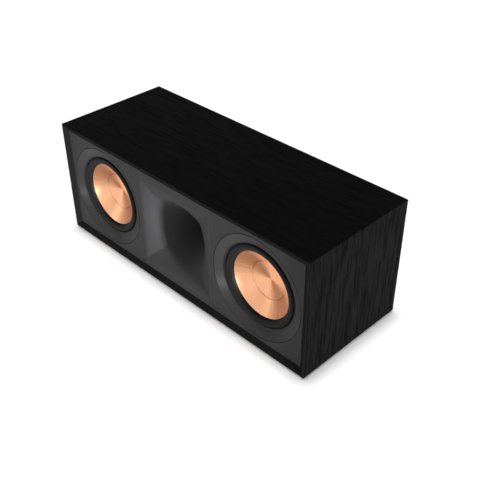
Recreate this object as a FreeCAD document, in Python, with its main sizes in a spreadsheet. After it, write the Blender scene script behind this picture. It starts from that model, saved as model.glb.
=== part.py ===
import FreeCAD, Part
import math
import os
import Sketcher

# Center channel speaker: a mitred cabinet with two cone woofers either side of a horn tweeter.
# Millimetres. X to the right seen from the front, Y to the back, Z up.
# The origin is on the floor, under the middle of the cabinet.

os.makedirs("parts", exist_ok=True)
doc = FreeCAD.newDocument("center_speaker")
sheet = doc.addObject("Spreadsheet::Sheet", "sizes")
pieces = []


class Length:
    """A size: its value in millimetres and the sheet expression that gives it."""

    def __init__(self, value, text):
        self.value = float(value)
        self.text = text

    def __add__(self, other):
        other = length(other)
        return Length(self.value + other.value, f"({self.text} + {other.text})")

    def __sub__(self, other):
        other = length(other)
        return Length(self.value - other.value, f"({self.text} - {other.text})")

    def __mul__(self, other):
        other = length(other)
        return Length(self.value * other.value, f"({self.text} * {other.text})")

    def __truediv__(self, other):
        other = length(other)
        return Length(self.value / other.value, f"({self.text} / {other.text})")

    def __neg__(self):
        return Length(-self.value, f"(0 - {self.text})")

    def __radd__(self, other):
        return length(other) + self

    def __rsub__(self, other):
        return length(other) - self

    def __rmul__(self, other):
        return length(other) * self


def length(number):
    """A plain number as a Length."""
    if isinstance(number, Length):
        return number
    return Length(number, repr(float(number)))


def root(x):
    return Length(math.sqrt(x.value), f"sqrt({x.text})")


def smaller(x, y):
    """The smaller of two lengths."""
    return Length(min(x.value, y.value), f"min({x.text}; {y.text})")


def natural_log(x):
    return Length(math.log(x.value), f"log({x.text})")


def exponential(x):
    return Length(math.exp(x.value), f"exp({x.text})")


def size(name, value, meaning):
    """One driving dimension: a row of the sheet with its name, number and meaning."""
    row = size.rows = getattr(size, "rows", 0) + 1
    sheet.set(f"A{row}", name)
    sheet.set(f"B{row}", str(value))
    sheet.set(f"C{row}", meaning)
    sheet.setAlias(f"B{row}", name)
    return Length(value, f"sizes.{name}")


def worked_out(name, value):
    """One dimension that follows from others: a row of the sheet with its name and formula."""
    row = size.rows = size.rows + 1
    sheet.set(f"A{row}", name)
    sheet.set(f"B{row}", "=" + value.text.replace("sizes.", ""))
    sheet.setAlias(f"B{row}", name)
    return Length(value.value, f"sizes.{name}")


# Cabinet
cabinet_width = size("cabinet_width", 470, "across the side walls")
cabinet_height = size("cabinet_height", 174.7, "bottom board to top board, without feet")
cabinet_depth = size("cabinet_depth", 180.9, "front edge to back edge")
wall = size("wall", 15, "thickness of the mitred boards")
edge_strip = size("edge_strip", 3.4, "flat front edge of each board")
bevel_width = size("bevel_width", 6.3, "bevel inside the front edge, seen from the front")
bevel_depth = size("bevel_depth", 4.6, "how far the baffle face lies behind the front edge")
baffle_thickness = size("baffle_thickness", 19, "front board")
rear_thickness = size("rear_thickness", 15, "rear board")
rear_lap = size("rear_lap", 6, "how far the rear board is let into each wall")
brace_thickness = size("brace_thickness", 12, "internal brace")
brace_clearance = size("brace_clearance", 1.9, "hole for a basket to the nearer brace")
brace_window_height = size("brace_window_height", 92, "opening in a brace")
brace_frame = size("brace_frame", 24, "brace left in front of and behind its opening")
brace_corner = size("brace_corner", 18, "corner radius of the brace opening")
foot_height = size("foot_height", 2.5, "rubber foot")
foot_radius = size("foot_radius", 9, "rubber foot at the cabinet")
foot_inset_side = size("foot_inset_side", 30, "foot centre to the cabinet's side")
foot_inset_end = size("foot_inset_end", 24, "foot centre to the cabinet's front or back")
wadding_thickness = size("wadding_thickness", 14, "damping pad under the top board")
wadding_length = size("wadding_length", 96, "damping pad across the cabinet")
wadding_depth = size("wadding_depth", 88, "damping pad front to back")

# Woofers: depths run back from the baffle face
ring_margin = size("ring_margin", 3.65, "trim ring to the bevel above and below it")
ring_side_margin = size("ring_side_margin", 2.8, "trim ring to the bevel beside it")
ring_width = size("ring_width", 15.2, "outside of the trim ring to its opening")
ring_dish = size("ring_dish", 6.7, "depth of the ring's inner edge")
ring_edge = size("ring_edge", 0.9, "thickness of the ring's inner edge")
ring_skirt = size("ring_skirt", 2, "wall of the ring round the basket")
seam = size("seam", 0.3, "gap round the trim rings and the horn")
recess_depth = size("recess_depth", 11, "floor of the woofer recess in the baffle")
flange_thickness = size("flange_thickness", 2.4, "basket flange")
flange_gap = size("flange_gap", 0.8, "basket flange to the ring's skirt")
basket_wall = size("basket_wall", 2.4, "sloping wall of the basket")
basket_clearance = size("basket_clearance", 0.8, "hole in the baffle round the basket")
basket_throat = size("basket_throat", 19, "hole in the basket floor")
spider_drop = size("spider_drop", 6.8, "front of the cone's neck to the spider's ledge")
shelf_height = size("shelf_height", 7.4, "spider's ledge to the back of the basket")
basket_floor = size("basket_floor", 2, "thickness of the basket floor")
basket_taper = size("basket_taper", 11.9, "how much the basket narrows to its floor")
shelf_wall = size("shelf_wall", 0.3, "spider's ledge to the outside of the basket floor")
shelf_width = size("shelf_width", 4.4, "ledge that the spider is glued to")
window_margin = size("window_margin", 3.3, "inner end of a basket window to the basket floor")
window_rim = size("window_rim", 1.8, "outer end of a basket window to the surround")
window_half_angle = size("window_half_angle", 30, "degrees each side of a window's middle")
window_count = size("window_count", 4, "windows in a basket")
lip_thickness = size("lip_thickness", 0.8, "rubber of the surround")
lip_clearance = size("lip_clearance", 1.2, "surround's glued lip to the screw heads")
lip_width = size("lip_width", 4.6, "surround's glued lip")
roll_width = size("roll_width", 10.3, "half roll, foot to foot")
roll_crest_depth = size("roll_crest_depth", 4.5, "depth of the half roll's crest")
roll_shoulder = size("roll_shoulder", 3.4, "crest to the half roll's shoulder")
cone_edge_depth = size("cone_edge_depth", 10, "depth of the cone's outer edge")
cone_wall = size("cone_wall", 1.2, "cone thickness along the axis")
cone_face = size("cone_face", 18.5, "cone seen outside the dust cap")
cap_depth = size("cap_depth", 22, "depth of the cap's edge")
cap_apex_depth = size("cap_apex_depth", 28, "depth of the cap's point")
cap_wall = size("cap_wall", 0.9, "cap thickness along the axis")
glue_gap = size("glue_gap", 0.3, "between a moving piece and the soft piece glued to it")
former_inner = size("former_inner", 15.8, "inside of the voice coil former")
former_wall = size("former_wall", 0.5, "voice coil former")
winding_wall = size("winding_wall", 0.8, "height of the wire wound on the former")
winding_length = size("winding_length", 11, "length of the winding")
coil_gap = size("coil_gap", 0.4, "clearance each side of the coil")
spider_thickness = size("spider_thickness", 0.6, "cloth of the spider")
plate_thickness = size("plate_thickness", 5, "front plate of the motor")
plate_inset = size("plate_inset", 3, "basket floor's edge to the front plate's")
magnet_lip = size("magnet_lip", 2.5, "how far the magnet stands out past its plates")
magnet_hole = size("magnet_hole", 22, "inside of the magnet")
magnet_thickness = size("magnet_thickness", 17, "magnet")
vent_radius = size("vent_radius", 5, "vent through the pole")
screw_inset = size("screw_inset", 4.7, "edge of the basket flange to its screws")
woofer_screws = size("woofer_screws", 4, "screws in each basket")

# Screws
head_radius = size("head_radius", 3.3, "pan head")
head_height = size("head_height", 1.9, "pan head")
shank_radius = size("shank_radius", 1.7, "shank")
pilot_gap = size("pilot_gap", 0.05, "pilot hole over the shank")
pass_gap = size("pass_gap", 0.5, "clearance hole over the shank")
woofer_screw_length = size("woofer_screw_length", 9.4, "under the head")

# Horn: depths run back from the baffle face
horn_gap = size("horn_gap", 4.5, "trim ring to the horn's face")
horn_plate = size("horn_plate", 4, "thickness of the horn's face")
horn_border = size("horn_border", 4, "horn's face beside its mouth")
horn_sill = size("horn_sill", 11.65, "bevel to the horn's mouth above and below it")
horn_throat = size("horn_throat", 13.5, "radius of the throat")
horn_wall = size("horn_wall", 3.2, "wall of the flare")
horn_rounding = size("horn_rounding", 11.1, "depth in which the square section turns round")
horn_ledge = size("horn_ledge", 5, "mouth to the hole in the baffle")
flare_inset = size("flare_inset", 4, "hole in the baffle to the flare's outside")
throat_flange_radius = size("throat_flange_radius", 43, "flange that the tweeter is screwed to")
throat_flange = size("throat_flange", 5, "thickness of that flange")
rib_thickness = size("rib_thickness", 2.5, "stiffening rib behind the horn")
ribs = size("ribs", 4, "ribs round the horn")
boss_radius = size("boss_radius", 3.8, "screw boss behind the horn's face")
boss_inset = size("boss_inset", 5.5, "screw boss to the side of the horn's face")
boss_drop = size("boss_drop", 11, "screw boss to the top or bottom of the horn's face")
horn_screw_head = size("horn_screw_head", 5, "washer head of a horn screw")
horn_screw_length = size("horn_screw_length", 12, "under the head")

# Tweeter: depths run back from the horn's throat flange
plug_plate = size("plug_plate", 5, "front plate of the tweeter at its screws")
plug_step_radius = size("plug_step_radius", 31, "raised seat behind the front plate")
plug_depth = size("plug_depth", 8, "front plate with its seat")
plug_recess_radius = size("plug_recess_radius", 18, "room for the dome")
plug_web = size("plug_web", 3, "front plate in front of the dome")
plug_radius = size("plug_radius", 5, "phase plug")
plug_nose = size("plug_nose", 7, "how far the phase plug reaches into the throat")
plug_spoke = size("plug_spoke", 1.6, "arm that carries the phase plug")
plug_spokes = size("plug_spokes", 3, "arms of the phase plug")
dome_radius = size("dome_radius", 12.8, "edge of the dome")
dome_height = size("dome_height", 4.2, "dome")
dome_wall = size("dome_wall", 0.5, "dome")
tweeter_former_wall = size("tweeter_former_wall", 0.5, "voice coil")
tweeter_coil_length = size("tweeter_coil_length", 6.5, "voice coil")
tweeter_plate_thickness = size("tweeter_plate_thickness", 4, "front plate of the motor")
tweeter_plate_radius = size("tweeter_plate_radius", 30, "front plate and back plate")
tweeter_magnet_radius = size("tweeter_magnet_radius", 33, "outside of the magnet")
tweeter_magnet_hole = size("tweeter_magnet_hole", 17, "inside of the magnet")
tweeter_magnet_thickness = size("tweeter_magnet_thickness", 10, "magnet")
cover_wall = size("cover_wall", 1.6, "back cover")
cover_gap = size("cover_gap", 0.4, "back cover to the magnet")
tweeter_screw_circle = size("tweeter_screw_circle", 38.5, "radius of the tweeter's screws")
tweeter_screws = size("tweeter_screws", 3, "screws in the tweeter")
tweeter_screw_length = size("tweeter_screw_length", 9, "under the head")

# Port: depths run forward from the back face
port_radius = size("port_radius", 24, "bore")
port_wall = size("port_wall", 2.5, "tube")
port_length = size("port_length", 72, "flange to inner end")
port_flare = size("port_flare", 10, "radius of the flared mouth")
port_flange = size("port_flange", 3, "flange thickness")
port_flange_width = size("port_flange_width", 4, "flat flange round the flare")

# Terminals: depths run forward from the back face
cup_width = size("cup_width", 92, "flange of the terminal cup")
cup_height = size("cup_height", 64, "flange of the terminal cup")
cup_flange = size("cup_flange", 2.5, "flange thickness")
cup_set_back = size("cup_set_back", 2, "flange below the cabinet's back face")
cup_rim = size("cup_rim", 10, "flange to the recess")
cup_corner = size("cup_corner", 6, "corner radius of the recess")
cup_depth = size("cup_depth", 28, "recess")
cup_wall = size("cup_wall", 2.5, "wall of the recess")
post_spacing = size("post_spacing", 19.05, "between the binding posts")
post_radius = size("post_radius", 3.4, "threaded stem")
post_collar_radius = size("post_collar_radius", 6.4, "collar on the stem")
post_collar = size("post_collar", 2, "collar thickness")
post_end = size("post_end", 6, "stem's outer end to the cup's flange")
socket_radius = size("socket_radius", 2.05, "plug socket in the stem")
socket_length = size("socket_length", 15.5, "plug socket")
wire_hole_radius = size("wire_hole_radius", 1.4, "hole across the stem for bare wire")
wire_hole_height = size("wire_hole_height", 2, "collar to the middle of the wire hole")
washer_thickness = size("washer_thickness", 1, "pressure washer under the cap")
thread_gap = size("thread_gap", 0.08, "running clearance of the cap and washer on the stem")
stop_gap = size("stop_gap", 0.1, "between collar, washer and cap")
grip_radius = size("grip_radius", 7.4, "cap")
insert_radius = size("insert_radius", 5, "threaded insert in the cap")
insert_end = size("insert_end", 1.5, "end wall of the insert")
grip_flute = size("grip_flute", 1.6, "radius of a flute in the cap")
grip_flutes = size("grip_flutes", 8, "flutes round the cap")
grip_foot = size("grip_foot", 4, "plain foot of the cap below its flutes")
plug_hole = size("plug_hole", 2.7, "hole in the end of the cap")
nut_flats = size("nut_flats", 10, "across the flats")
nut_height = size("nut_height", 3.5, "nut")
terminal_screw_inset = size("terminal_screw_inset", 7, "edge of the cup's flange to its screws")
panel_screw_length = size("panel_screw_length", 12, "cup and crossover screws, under the head")

# Crossover: depths run forward from the inside of the rear board
crossover_width = size("crossover_width", 104, "board")
crossover_height = size("crossover_height", 84, "board")
crossover_board = size("crossover_board", 3, "board")
crossover_screw_inset = size("crossover_screw_inset", 6, "edge of the board to a screw")
coil_radius = size("coil_radius", 18, "woofer inductor")
coil_bore = size("coil_bore", 7, "woofer inductor")
coil_height = size("coil_height", 20, "woofer inductor")
small_coil_radius = size("small_coil_radius", 12, "tweeter inductor")
small_coil_bore = size("small_coil_bore", 5, "tweeter inductor")
small_coil_height = size("small_coil_height", 12, "tweeter inductor")
capacitor_radius = size("capacitor_radius", 8, "film capacitor")
capacitor_length = size("capacitor_length", 34, "film capacitor")
resistor_width = size("resistor_width", 25, "wire-wound resistor")
resistor_height = size("resistor_height", 9, "wire-wound resistor")
capacitor_spacing = size("capacitor_spacing", 18, "one capacitor to the next")
wire_radius = size("wire_radius", 1.9, "twin internal wire in its sleeve")
wire_clearance = size("wire_clearance", 1.6, "internal wire to the magnet that it passes")
wire_pitch = size("wire_pitch", 9, "one wire to the next where they cross the cabinet")

# Places that several pieces share
front_y = worked_out("front_y", -cabinet_depth / 2)
face_y = worked_out("face_y", front_y + bevel_depth)
back_y = worked_out("back_y", cabinet_depth / 2)
inside_back_y = worked_out("inside_back_y", back_y - rear_thickness)
inside_front_y = worked_out("inside_front_y", face_y + baffle_thickness)
cup_y = worked_out("cup_y", back_y - cup_set_back)
middle_z = worked_out("middle_z", foot_height + cabinet_height / 2)
inside_half_height = worked_out("inside_half_height", cabinet_height / 2 - wall)
front_lip = worked_out("front_lip", edge_strip + bevel_width)
ring_radius = worked_out("ring_radius", cabinet_height / 2 - front_lip - ring_margin)
ring_outside = worked_out("ring_outside", cabinet_width / 2 - front_lip - ring_side_margin)
woofer_offset = worked_out("woofer_offset", ring_outside - ring_radius)
ring_opening = worked_out("ring_opening", ring_radius - ring_width)
flange_radius = worked_out("flange_radius", ring_radius - ring_skirt - flange_gap)
flange_front = worked_out("flange_front", recess_depth - flange_thickness)
woofer_screw_circle = worked_out("woofer_screw_circle", flange_radius - screw_inset)
lip_outer = worked_out("lip_outer", woofer_screw_circle - head_radius - lip_clearance)
roll_outer = worked_out("roll_outer", lip_outer - lip_width)
cone_radius = worked_out("cone_radius", roll_outer - roll_width - glue_gap)
cap_radius = worked_out("cap_radius", cone_radius - cone_face)
basket_hole = worked_out("basket_hole", roll_outer + basket_wall + basket_clearance)
basket_back_radius = worked_out("basket_back_radius", roll_outer - basket_taper)
shelf_outer = worked_out("shelf_outer", basket_back_radius - shelf_wall)
shelf_inner = worked_out("shelf_inner", shelf_outer - shelf_width)
window_inner = worked_out("window_inner", basket_back_radius + window_margin)
window_outer = worked_out("window_outer", roll_outer - window_rim)
plate_radius = worked_out("plate_radius", basket_back_radius - plate_inset)
magnet_radius = worked_out("magnet_radius", plate_radius + magnet_lip)
brace_outside = worked_out("brace_outside", woofer_offset - basket_hole - brace_clearance)
brace_offset = worked_out("brace_offset", brace_outside - brace_thickness / 2)
cone_slope = worked_out("cone_slope", (cap_depth - cone_edge_depth) / (cone_radius - cap_radius))
former_outer = worked_out("former_outer", former_inner + former_wall)
neck_depth = worked_out("neck_depth", cone_edge_depth + cone_slope * (cone_radius - former_outer))
shelf_depth = worked_out("shelf_depth", neck_depth + spider_drop)
basket_depth = worked_out("basket_depth", shelf_depth + shelf_height)
plate_back = worked_out("plate_back", basket_depth + plate_thickness)
magnet_back = worked_out("magnet_back", plate_back + magnet_thickness)
horn_half_width = worked_out("horn_half_width", woofer_offset - ring_radius - horn_gap)
horn_half_height = worked_out("horn_half_height", cabinet_height / 2 - front_lip - seam / 2)
mouth_room_x = worked_out("mouth_room_x", horn_half_width - horn_border)
mouth_room_z = worked_out("mouth_room_z", cabinet_height / 2 - front_lip - horn_sill)
horn_mouth = worked_out("horn_mouth", smaller(mouth_room_x, mouth_room_z))
horn_cut = worked_out("horn_cut", horn_mouth - horn_ledge)
boss_x = worked_out("boss_x", horn_half_width - boss_inset)
boss_z = worked_out("boss_z", horn_half_height - boss_drop)
terminal_screw_x = worked_out("terminal_screw_x", cup_width / 2 - terminal_screw_inset)
terminal_screw_z = worked_out("terminal_screw_z", cup_height / 2 - terminal_screw_inset)
port_offset = worked_out("port_offset", woofer_offset)
crossover_offset = worked_out("crossover_offset", woofer_offset)
crossover_front = worked_out("crossover_front", inside_back_y - crossover_board)


def tractrix_depth(half_width):
    """How far behind the mouth a tractrix horn has narrowed to this half width."""
    reach = root(horn_mouth * horn_mouth - half_width * half_width)
    return horn_mouth * natural_log((horn_mouth + reach) / half_width) - reach


horn_depth = worked_out("horn_depth", tractrix_depth(horn_throat))
throat_y = worked_out("throat_y", face_y + horn_depth)
tweeter_plate_back = worked_out("tweeter_plate_back", plug_depth + tweeter_plate_thickness)
tweeter_magnet_back = worked_out("tweeter_magnet_back", tweeter_plate_back + tweeter_magnet_thickness)
tweeter_yoke_back = worked_out("tweeter_yoke_back", tweeter_magnet_back + tweeter_plate_thickness)
cover_y = worked_out("cover_y", throat_y + tweeter_yoke_back + cover_wall)
post_y = worked_out("post_y", (cup_y - cup_depth - cup_wall - nut_height + cover_y) / 2)
lane_y = worked_out("lane_y", (post_y + cover_y) / 2)


def bind(target, path, value):
    """Drive one property of an object by the sheet."""
    target.setExpression(path, length(value).text)


def body(label, x=0, y=0, z=0, axis=None, angle=0):
    """A new sub-part whose name is its label, placed by sheet values."""
    made = doc.addObject("PartDesign::Body", label)
    made.Label = label
    made.AllowCompound = True
    turn = FreeCAD.Rotation(FreeCAD.Vector(*axis), angle) if axis else FreeCAD.Rotation()
    made.Placement = FreeCAD.Placement(FreeCAD.Vector(), turn)
    bind(made, "Placement.Base.x", x)
    bind(made, "Placement.Base.y", y)
    bind(made, "Placement.Base.z", z)
    pieces.append(made)
    return made


def sketch(owner, role, offset=0):
    """An empty sketch on one of the sub-part's own planes, moved along its normal."""
    made = owner.newObject("Sketcher::SketchObject", "outline")
    plane = [p for p in owner.Origin.OriginFeatures if p.Role == role][0]
    made.AttachmentSupport = [(plane, "")]
    made.MapMode = "FlatFace"
    bind(made, "AttachmentOffset.Base.z", offset)
    return made


def constrain(target, rules):
    """Add constraints, each (kind, places, Length), and bind each to its Length."""
    for kind, places, value in rules:
        number = target.addConstraint(Sketcher.Constraint(kind, *places, value.value))
        bind(target, f"Constraints[{number}]", value)


def arc_between(start, end, radius):
    """The minor arc from start to end with its centre on the left when radius is positive."""
    along = end - start
    half = along.Length / 2
    left = FreeCAD.Vector(-along.y, along.x, 0).normalize()
    rise = abs(radius) - math.sqrt(radius * radius - half * half)
    crown = start + along / 2 - left * math.copysign(rise, radius)
    return Part.Arc(start, crown, end) if radius > 0 else Part.Arc(end, crown, start)


def outline(target, points):
    """Draw a closed outline: (x, y) ends a line there, (x, y, radius) ends an arc there."""
    places = [(length(p[0]), length(p[1])) for p in points]
    spots = [FreeCAD.Vector(x.value, y.value, 0) for x, y in places]
    edges = []
    for i, point in enumerate(points):
        start, end = spots[i - 1], spots[i]
        if len(point) == 2:
            edges.append((target.addGeometry(Part.LineSegment(start, end)), 1, 2))
            continue
        bend = length(point[2])
        number = target.addGeometry(arc_between(start, end, bend.value))
        edges.append((number, 1, 2) if bend.value > 0 else (number, 2, 1))
    for i, (edge, first, last) in enumerate(edges):
        after = edges[(i + 1) % len(edges)]
        target.addConstraint(Sketcher.Constraint("Coincident", edge, last, after[0], after[1]))
        constrain(target, [("DistanceX", (-1, 1, edge, last), places[i][0])])
        constrain(target, [("DistanceY", (-1, 1, edge, last), places[i][1])])
    for (edge, first, last), point in zip(edges, points):
        if len(point) == 3:
            bend = length(point[2])
            size_of_bend = bend if bend.value > 0 else -bend
            constrain(target, [("Radius", (edge,), size_of_bend)])
    return target


def circle(target, x, y, radius):
    """Draw a circle."""
    x, y, radius = length(x), length(y), length(radius)
    shape = Part.Circle(FreeCAD.Vector(x.value, y.value, 0), FreeCAD.Vector(0, 0, 1), radius.value)
    number = target.addGeometry(shape)
    constrain(target, [("Radius", (number,), radius)])
    constrain(target, [("DistanceX", (-1, 1, number, 3), x)])
    constrain(target, [("DistanceY", (-1, 1, number, 3), y)])
    return target


def rectangle(target, half_x, half_y, x=0, y=0):
    """Draw a rectangle about a centre."""
    left, right = x - half_x, x + half_x
    low, high = y - half_y, y + half_y
    return outline(target, [(left, low), (right, low), (right, high), (left, high)])


def rounded_rectangle(target, half_x, half_y, corner):
    """Draw a rectangle about the sketch's origin with rounded corners."""
    x, y = length(half_x), length(half_y)
    return outline(
        target,
        [
            (x - corner, -y),
            (x, corner - y, corner),
            (x, y - corner),
            (x - corner, y, corner),
            (corner - x, y),
            (-x, y - corner, corner),
            (-x, corner - y),
            (corner - x, -y, corner),
        ],
    )


def feature(owner, kind, profile, depth=None, reverse=False, both_ways=False):
    """A pad or pocket of a sketch; without a depth it goes right through."""
    made = owner.newObject(kind, kind.split("::")[1].lower())
    made.Profile = profile
    if depth is None:
        made.Type = "ThroughAll"
    else:
        bind(made, "Length", depth)
    made.Reversed = reverse
    made.SideType = "Symmetric" if both_ways else "One side"
    profile.Visibility = False
    return made


def pad(owner, profile, depth, reverse=False, both_ways=False):
    return feature(owner, "PartDesign::Pad", profile, depth, reverse, both_ways)


def pocket(owner, profile, depth=None, reverse=False, both_ways=False):
    """A pocket that has to take something away."""
    doc.recompute()
    before = owner.Shape.Volume
    made = feature(owner, "PartDesign::Pocket", profile, depth, reverse, both_ways)
    doc.recompute()
    if not owner.Shape.Volume < before:
        raise ValueError(f"a pocket in {owner.Label} cuts nothing")
    return made


def revolve(owner, points, axis="V_Axis"):
    """Turn an outline about the sub-part's Y axis: x is the radius and y the depth."""
    profile = outline(sketch(owner, "XY_Plane"), points)
    made = owner.newObject("PartDesign::Revolution", "revolution")
    made.Profile = profile
    made.ReferenceAxis = (profile, [axis])
    made.Angle = 360
    return made


def around(owner, original, count, axis_role="Y_Axis"):
    """Repeat a feature evenly round the sub-part's Y axis."""
    made = owner.newObject("PartDesign::PolarPattern", "around")
    made.Originals = [original]
    axis = [a for a in owner.Origin.OriginFeatures if a.Role == axis_role][0]
    made.Axis = (axis, [""])
    made.Angle = 360
    bind(made, "Occurrences", count)
    owner.Tip = made
    return made


def screw(owner, x, z, depth, shank, grows, head=head_radius):
    """A pan head screw along Y at (x, z), its head seated at a depth and its shank growing from it."""
    for radius, start, end in ((head, -grows * head_height, 0), (shank_radius, 0, grows * shank)):
        near = start if grows > 0 else end
        disc = circle(sketch(owner, "XZ_Plane", -(depth + near)), x, z, radius)
        pad(owner, disc, (end - start) * grows, reverse=True)


def four(x, z):
    """The four corners of a rectangle about the middle."""
    return [(x, z), (-x, z), (x, -z), (-x, -z)]


def ring_places(radius, count, first):
    """Places evenly round a circle, the first at an angle in degrees above the X axis."""
    steps = int(count.value)
    angles = [math.radians(first + 360 / steps * turn) for turn in range(steps)]
    return [(radius * math.cos(angle), radius * math.sin(angle)) for angle in angles]


def wall_board(label, span, x, z, angle):
    """One mitred board: its outside at z = 0, its front end bevelled and rebated for the baffle."""
    board = body(label, x, front_y, z, (0, 1, 0), angle)
    half = span / 2
    mitred = outline(
        sketch(board, "XZ_Plane"),
        [(-half, 0), (wall - half, -wall), (half - wall, -wall), (half, 0)],
    )
    pad(board, mitred, cabinet_depth, reverse=True)
    front = outline(
        sketch(board, "YZ_Plane"),
        [
            (-wall, -edge_strip),
            (0, -edge_strip),
            (bevel_depth, -front_lip),
            (bevel_depth + baffle_thickness, -front_lip),
            (bevel_depth + baffle_thickness, -wall * 2),
            (-wall, -wall * 2),
        ],
    )
    pocket(board, front, both_ways=True)
    back = outline(
        sketch(board, "YZ_Plane"),
        [
            (cabinet_depth - rear_thickness, rear_lap - wall),
            (cabinet_depth + wall, rear_lap - wall),
            (cabinet_depth + wall, -wall * 2),
            (cabinet_depth - rear_thickness, -wall * 2),
        ],
    )
    pocket(board, back, both_ways=True)


def cabinet_walls():
    wall_board("cabinet_top", cabinet_width, 0, foot_height + cabinet_height, 0)
    wall_board("cabinet_bottom", cabinet_width, 0, foot_height, 180)
    wall_board("cabinet_right_side", cabinet_height, cabinet_width / 2, middle_z, 90)
    wall_board("cabinet_left_side", cabinet_height, -cabinet_width / 2, middle_z, -90)


def front_baffle():
    """The front board: two stepped woofer holes, the horn's recess and hole, and screw holes."""
    board = body("front_baffle", 0, face_y, middle_z)
    half_width = cabinet_width / 2 - front_lip
    half_height = cabinet_height / 2 - front_lip
    pad(board, rectangle(sketch(board, "XZ_Plane"), half_width, half_height), baffle_thickness, True)
    recess = sketch(board, "XZ_Plane")
    hole = sketch(board, "XZ_Plane")
    for side in (-1, 1):
        circle(recess, side * woofer_offset, 0, ring_radius + seam)
        circle(hole, side * woofer_offset, 0, basket_hole)
    pocket(board, recess, recess_depth)
    pocket(board, hole)
    seat = rectangle(sketch(board, "XZ_Plane"), horn_half_width + seam, half_height + wall)
    pocket(board, seat, horn_plate)
    pocket(board, rectangle(sketch(board, "XZ_Plane"), horn_cut, horn_cut))
    holes = sketch(board, "XZ_Plane")
    for x, z in four(boss_x, boss_z):
        circle(holes, x, z, boss_radius + seam)
    for side in (-1, 1):
        for x, z in ring_places(woofer_screw_circle, woofer_screws, 45):
            circle(holes, side * woofer_offset + x, z, shank_radius + pilot_gap)
    pocket(board, holes)


def rear_panel():
    """The rear board: let in flush, with the port's and the terminal cup's stepped holes."""
    board = body("rear_panel", 0, back_y, middle_z)
    half_width = cabinet_width / 2 - wall + rear_lap
    half_height = cabinet_height / 2 - wall + rear_lap
    pad(board, rectangle(sketch(board, "XZ_Plane"), half_width, half_height), rear_thickness)
    flange = port_radius + port_flare + port_flange_width + pilot_gap
    neck = port_radius + port_flare - port_flange + pilot_gap
    pocket(board, circle(sketch(board, "XZ_Plane"), -port_offset, 0, flange), port_flange, True)
    pocket(board, circle(sketch(board, "XZ_Plane"), -port_offset, 0, neck), None, True)
    let_in = rectangle(sketch(board, "XZ_Plane"), cup_width / 2, cup_height / 2)
    pocket(board, let_in, cup_flange + cup_set_back, True)
    tub_x = cup_width / 2 - cup_rim + cup_wall
    tub_z = cup_height / 2 - cup_rim + cup_wall
    tub = rounded_rectangle(sketch(board, "XZ_Plane"), tub_x, tub_z, cup_corner + cup_wall)
    pocket(board, tub, None, True)
    pilots = sketch(board, "XZ_Plane")
    for x, z in four(terminal_screw_x, terminal_screw_z):
        circle(pilots, x, z, shank_radius + pilot_gap)
    pocket(board, pilots, None, True)
    blind = sketch(board, "XZ_Plane", rear_thickness)
    for x, z in crossover_screw_places():
        circle(blind, x + crossover_offset, z, shank_radius + pilot_gap)
    pocket(board, blind, panel_screw_length - crossover_board + pilot_gap)


def brace(label, x):
    """An upright frame between the front and rear boards, with a rounded opening."""
    depth = inside_back_y - inside_front_y
    frame = body(label, x, (inside_front_y + inside_back_y) / 2, middle_z)
    plate = rectangle(sketch(frame, "YZ_Plane"), depth / 2, inside_half_height)
    pad(frame, plate, brace_thickness, both_ways=True)
    opening = rounded_rectangle(
        sketch(frame, "YZ_Plane"), depth / 2 - brace_frame, brace_window_height / 2, brace_corner
    )
    pocket(frame, opening, both_ways=True)


def rubber_feet():
    """Four low round feet under the bottom board."""
    feet = body("rubber_feet")
    discs = sketch(feet, "XY_Plane")
    for x, y in four(cabinet_width / 2 - foot_inset_side, cabinet_depth / 2 - foot_inset_end):
        circle(discs, x, y, foot_radius)
    pad(feet, discs, foot_height)


def damping_wadding():
    """A pad glued under the top board in each woofer chamber."""
    pads = body("damping_wadding", 0, inside_back_y - wadding_depth / 2, middle_z + inside_half_height)
    for side in (-1, 1):
        area = rectangle(
            sketch(pads, "XY_Plane"), wadding_length / 2, wadding_depth / 2, side * woofer_offset, 0
        )
        pad(pads, area, wadding_thickness, reverse=True)


def woofer_place(x):
    return x, face_y, middle_z


def trim_ring(label, x):
    """A dished ring, flush with the baffle at its rim, with a skirt down to the recess floor."""
    ring = body(label, *woofer_place(x))
    skirt = ring_radius - ring_skirt
    revolve(
        ring,
        [
            (ring_radius, 0),
            (ring_radius, recess_depth),
            (skirt, recess_depth),
            (skirt, ring_skirt),
            (ring_opening, ring_dish + ring_edge),
            (ring_opening, ring_dish),
        ],
    )


def basket(label, x):
    """The woofer's frame: flange, sloping wall with windows, spider ledge and floor."""
    frame = body(label, *woofer_place(x))
    inner = roll_outer
    revolve(
        frame,
        [
            (inner, flange_front),
            (flange_radius, flange_front),
            (flange_radius, recess_depth),
            (inner + basket_wall, recess_depth),
            (basket_back_radius, basket_depth),
            (basket_throat, basket_depth),
            (basket_throat, basket_depth - basket_floor),
            (shelf_inner - basket_wall, basket_depth - basket_floor),
            (shelf_inner, shelf_depth),
            (shelf_outer, shelf_depth),
        ],
    )
    half = window_half_angle.value
    window = sketch(frame, "XZ_Plane")
    cosine, sine = math.cos(math.radians(half)), math.sin(math.radians(half))
    outline(
        window,
        [
            (window_outer * cosine, -window_outer * sine),
            (window_outer * cosine, window_outer * sine, window_outer),
            (window_inner * cosine, window_inner * sine),
            (window_inner * cosine, -window_inner * sine, -window_inner),
        ],
    )
    around(frame, pocket(frame, window, basket_depth), window_count)
    holes = sketch(frame, "XZ_Plane")
    for x, z in ring_places(woofer_screw_circle, woofer_screws, 45):
        circle(holes, x, z, shank_radius + pass_gap)
    pocket(frame, holes, recess_depth)


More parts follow.
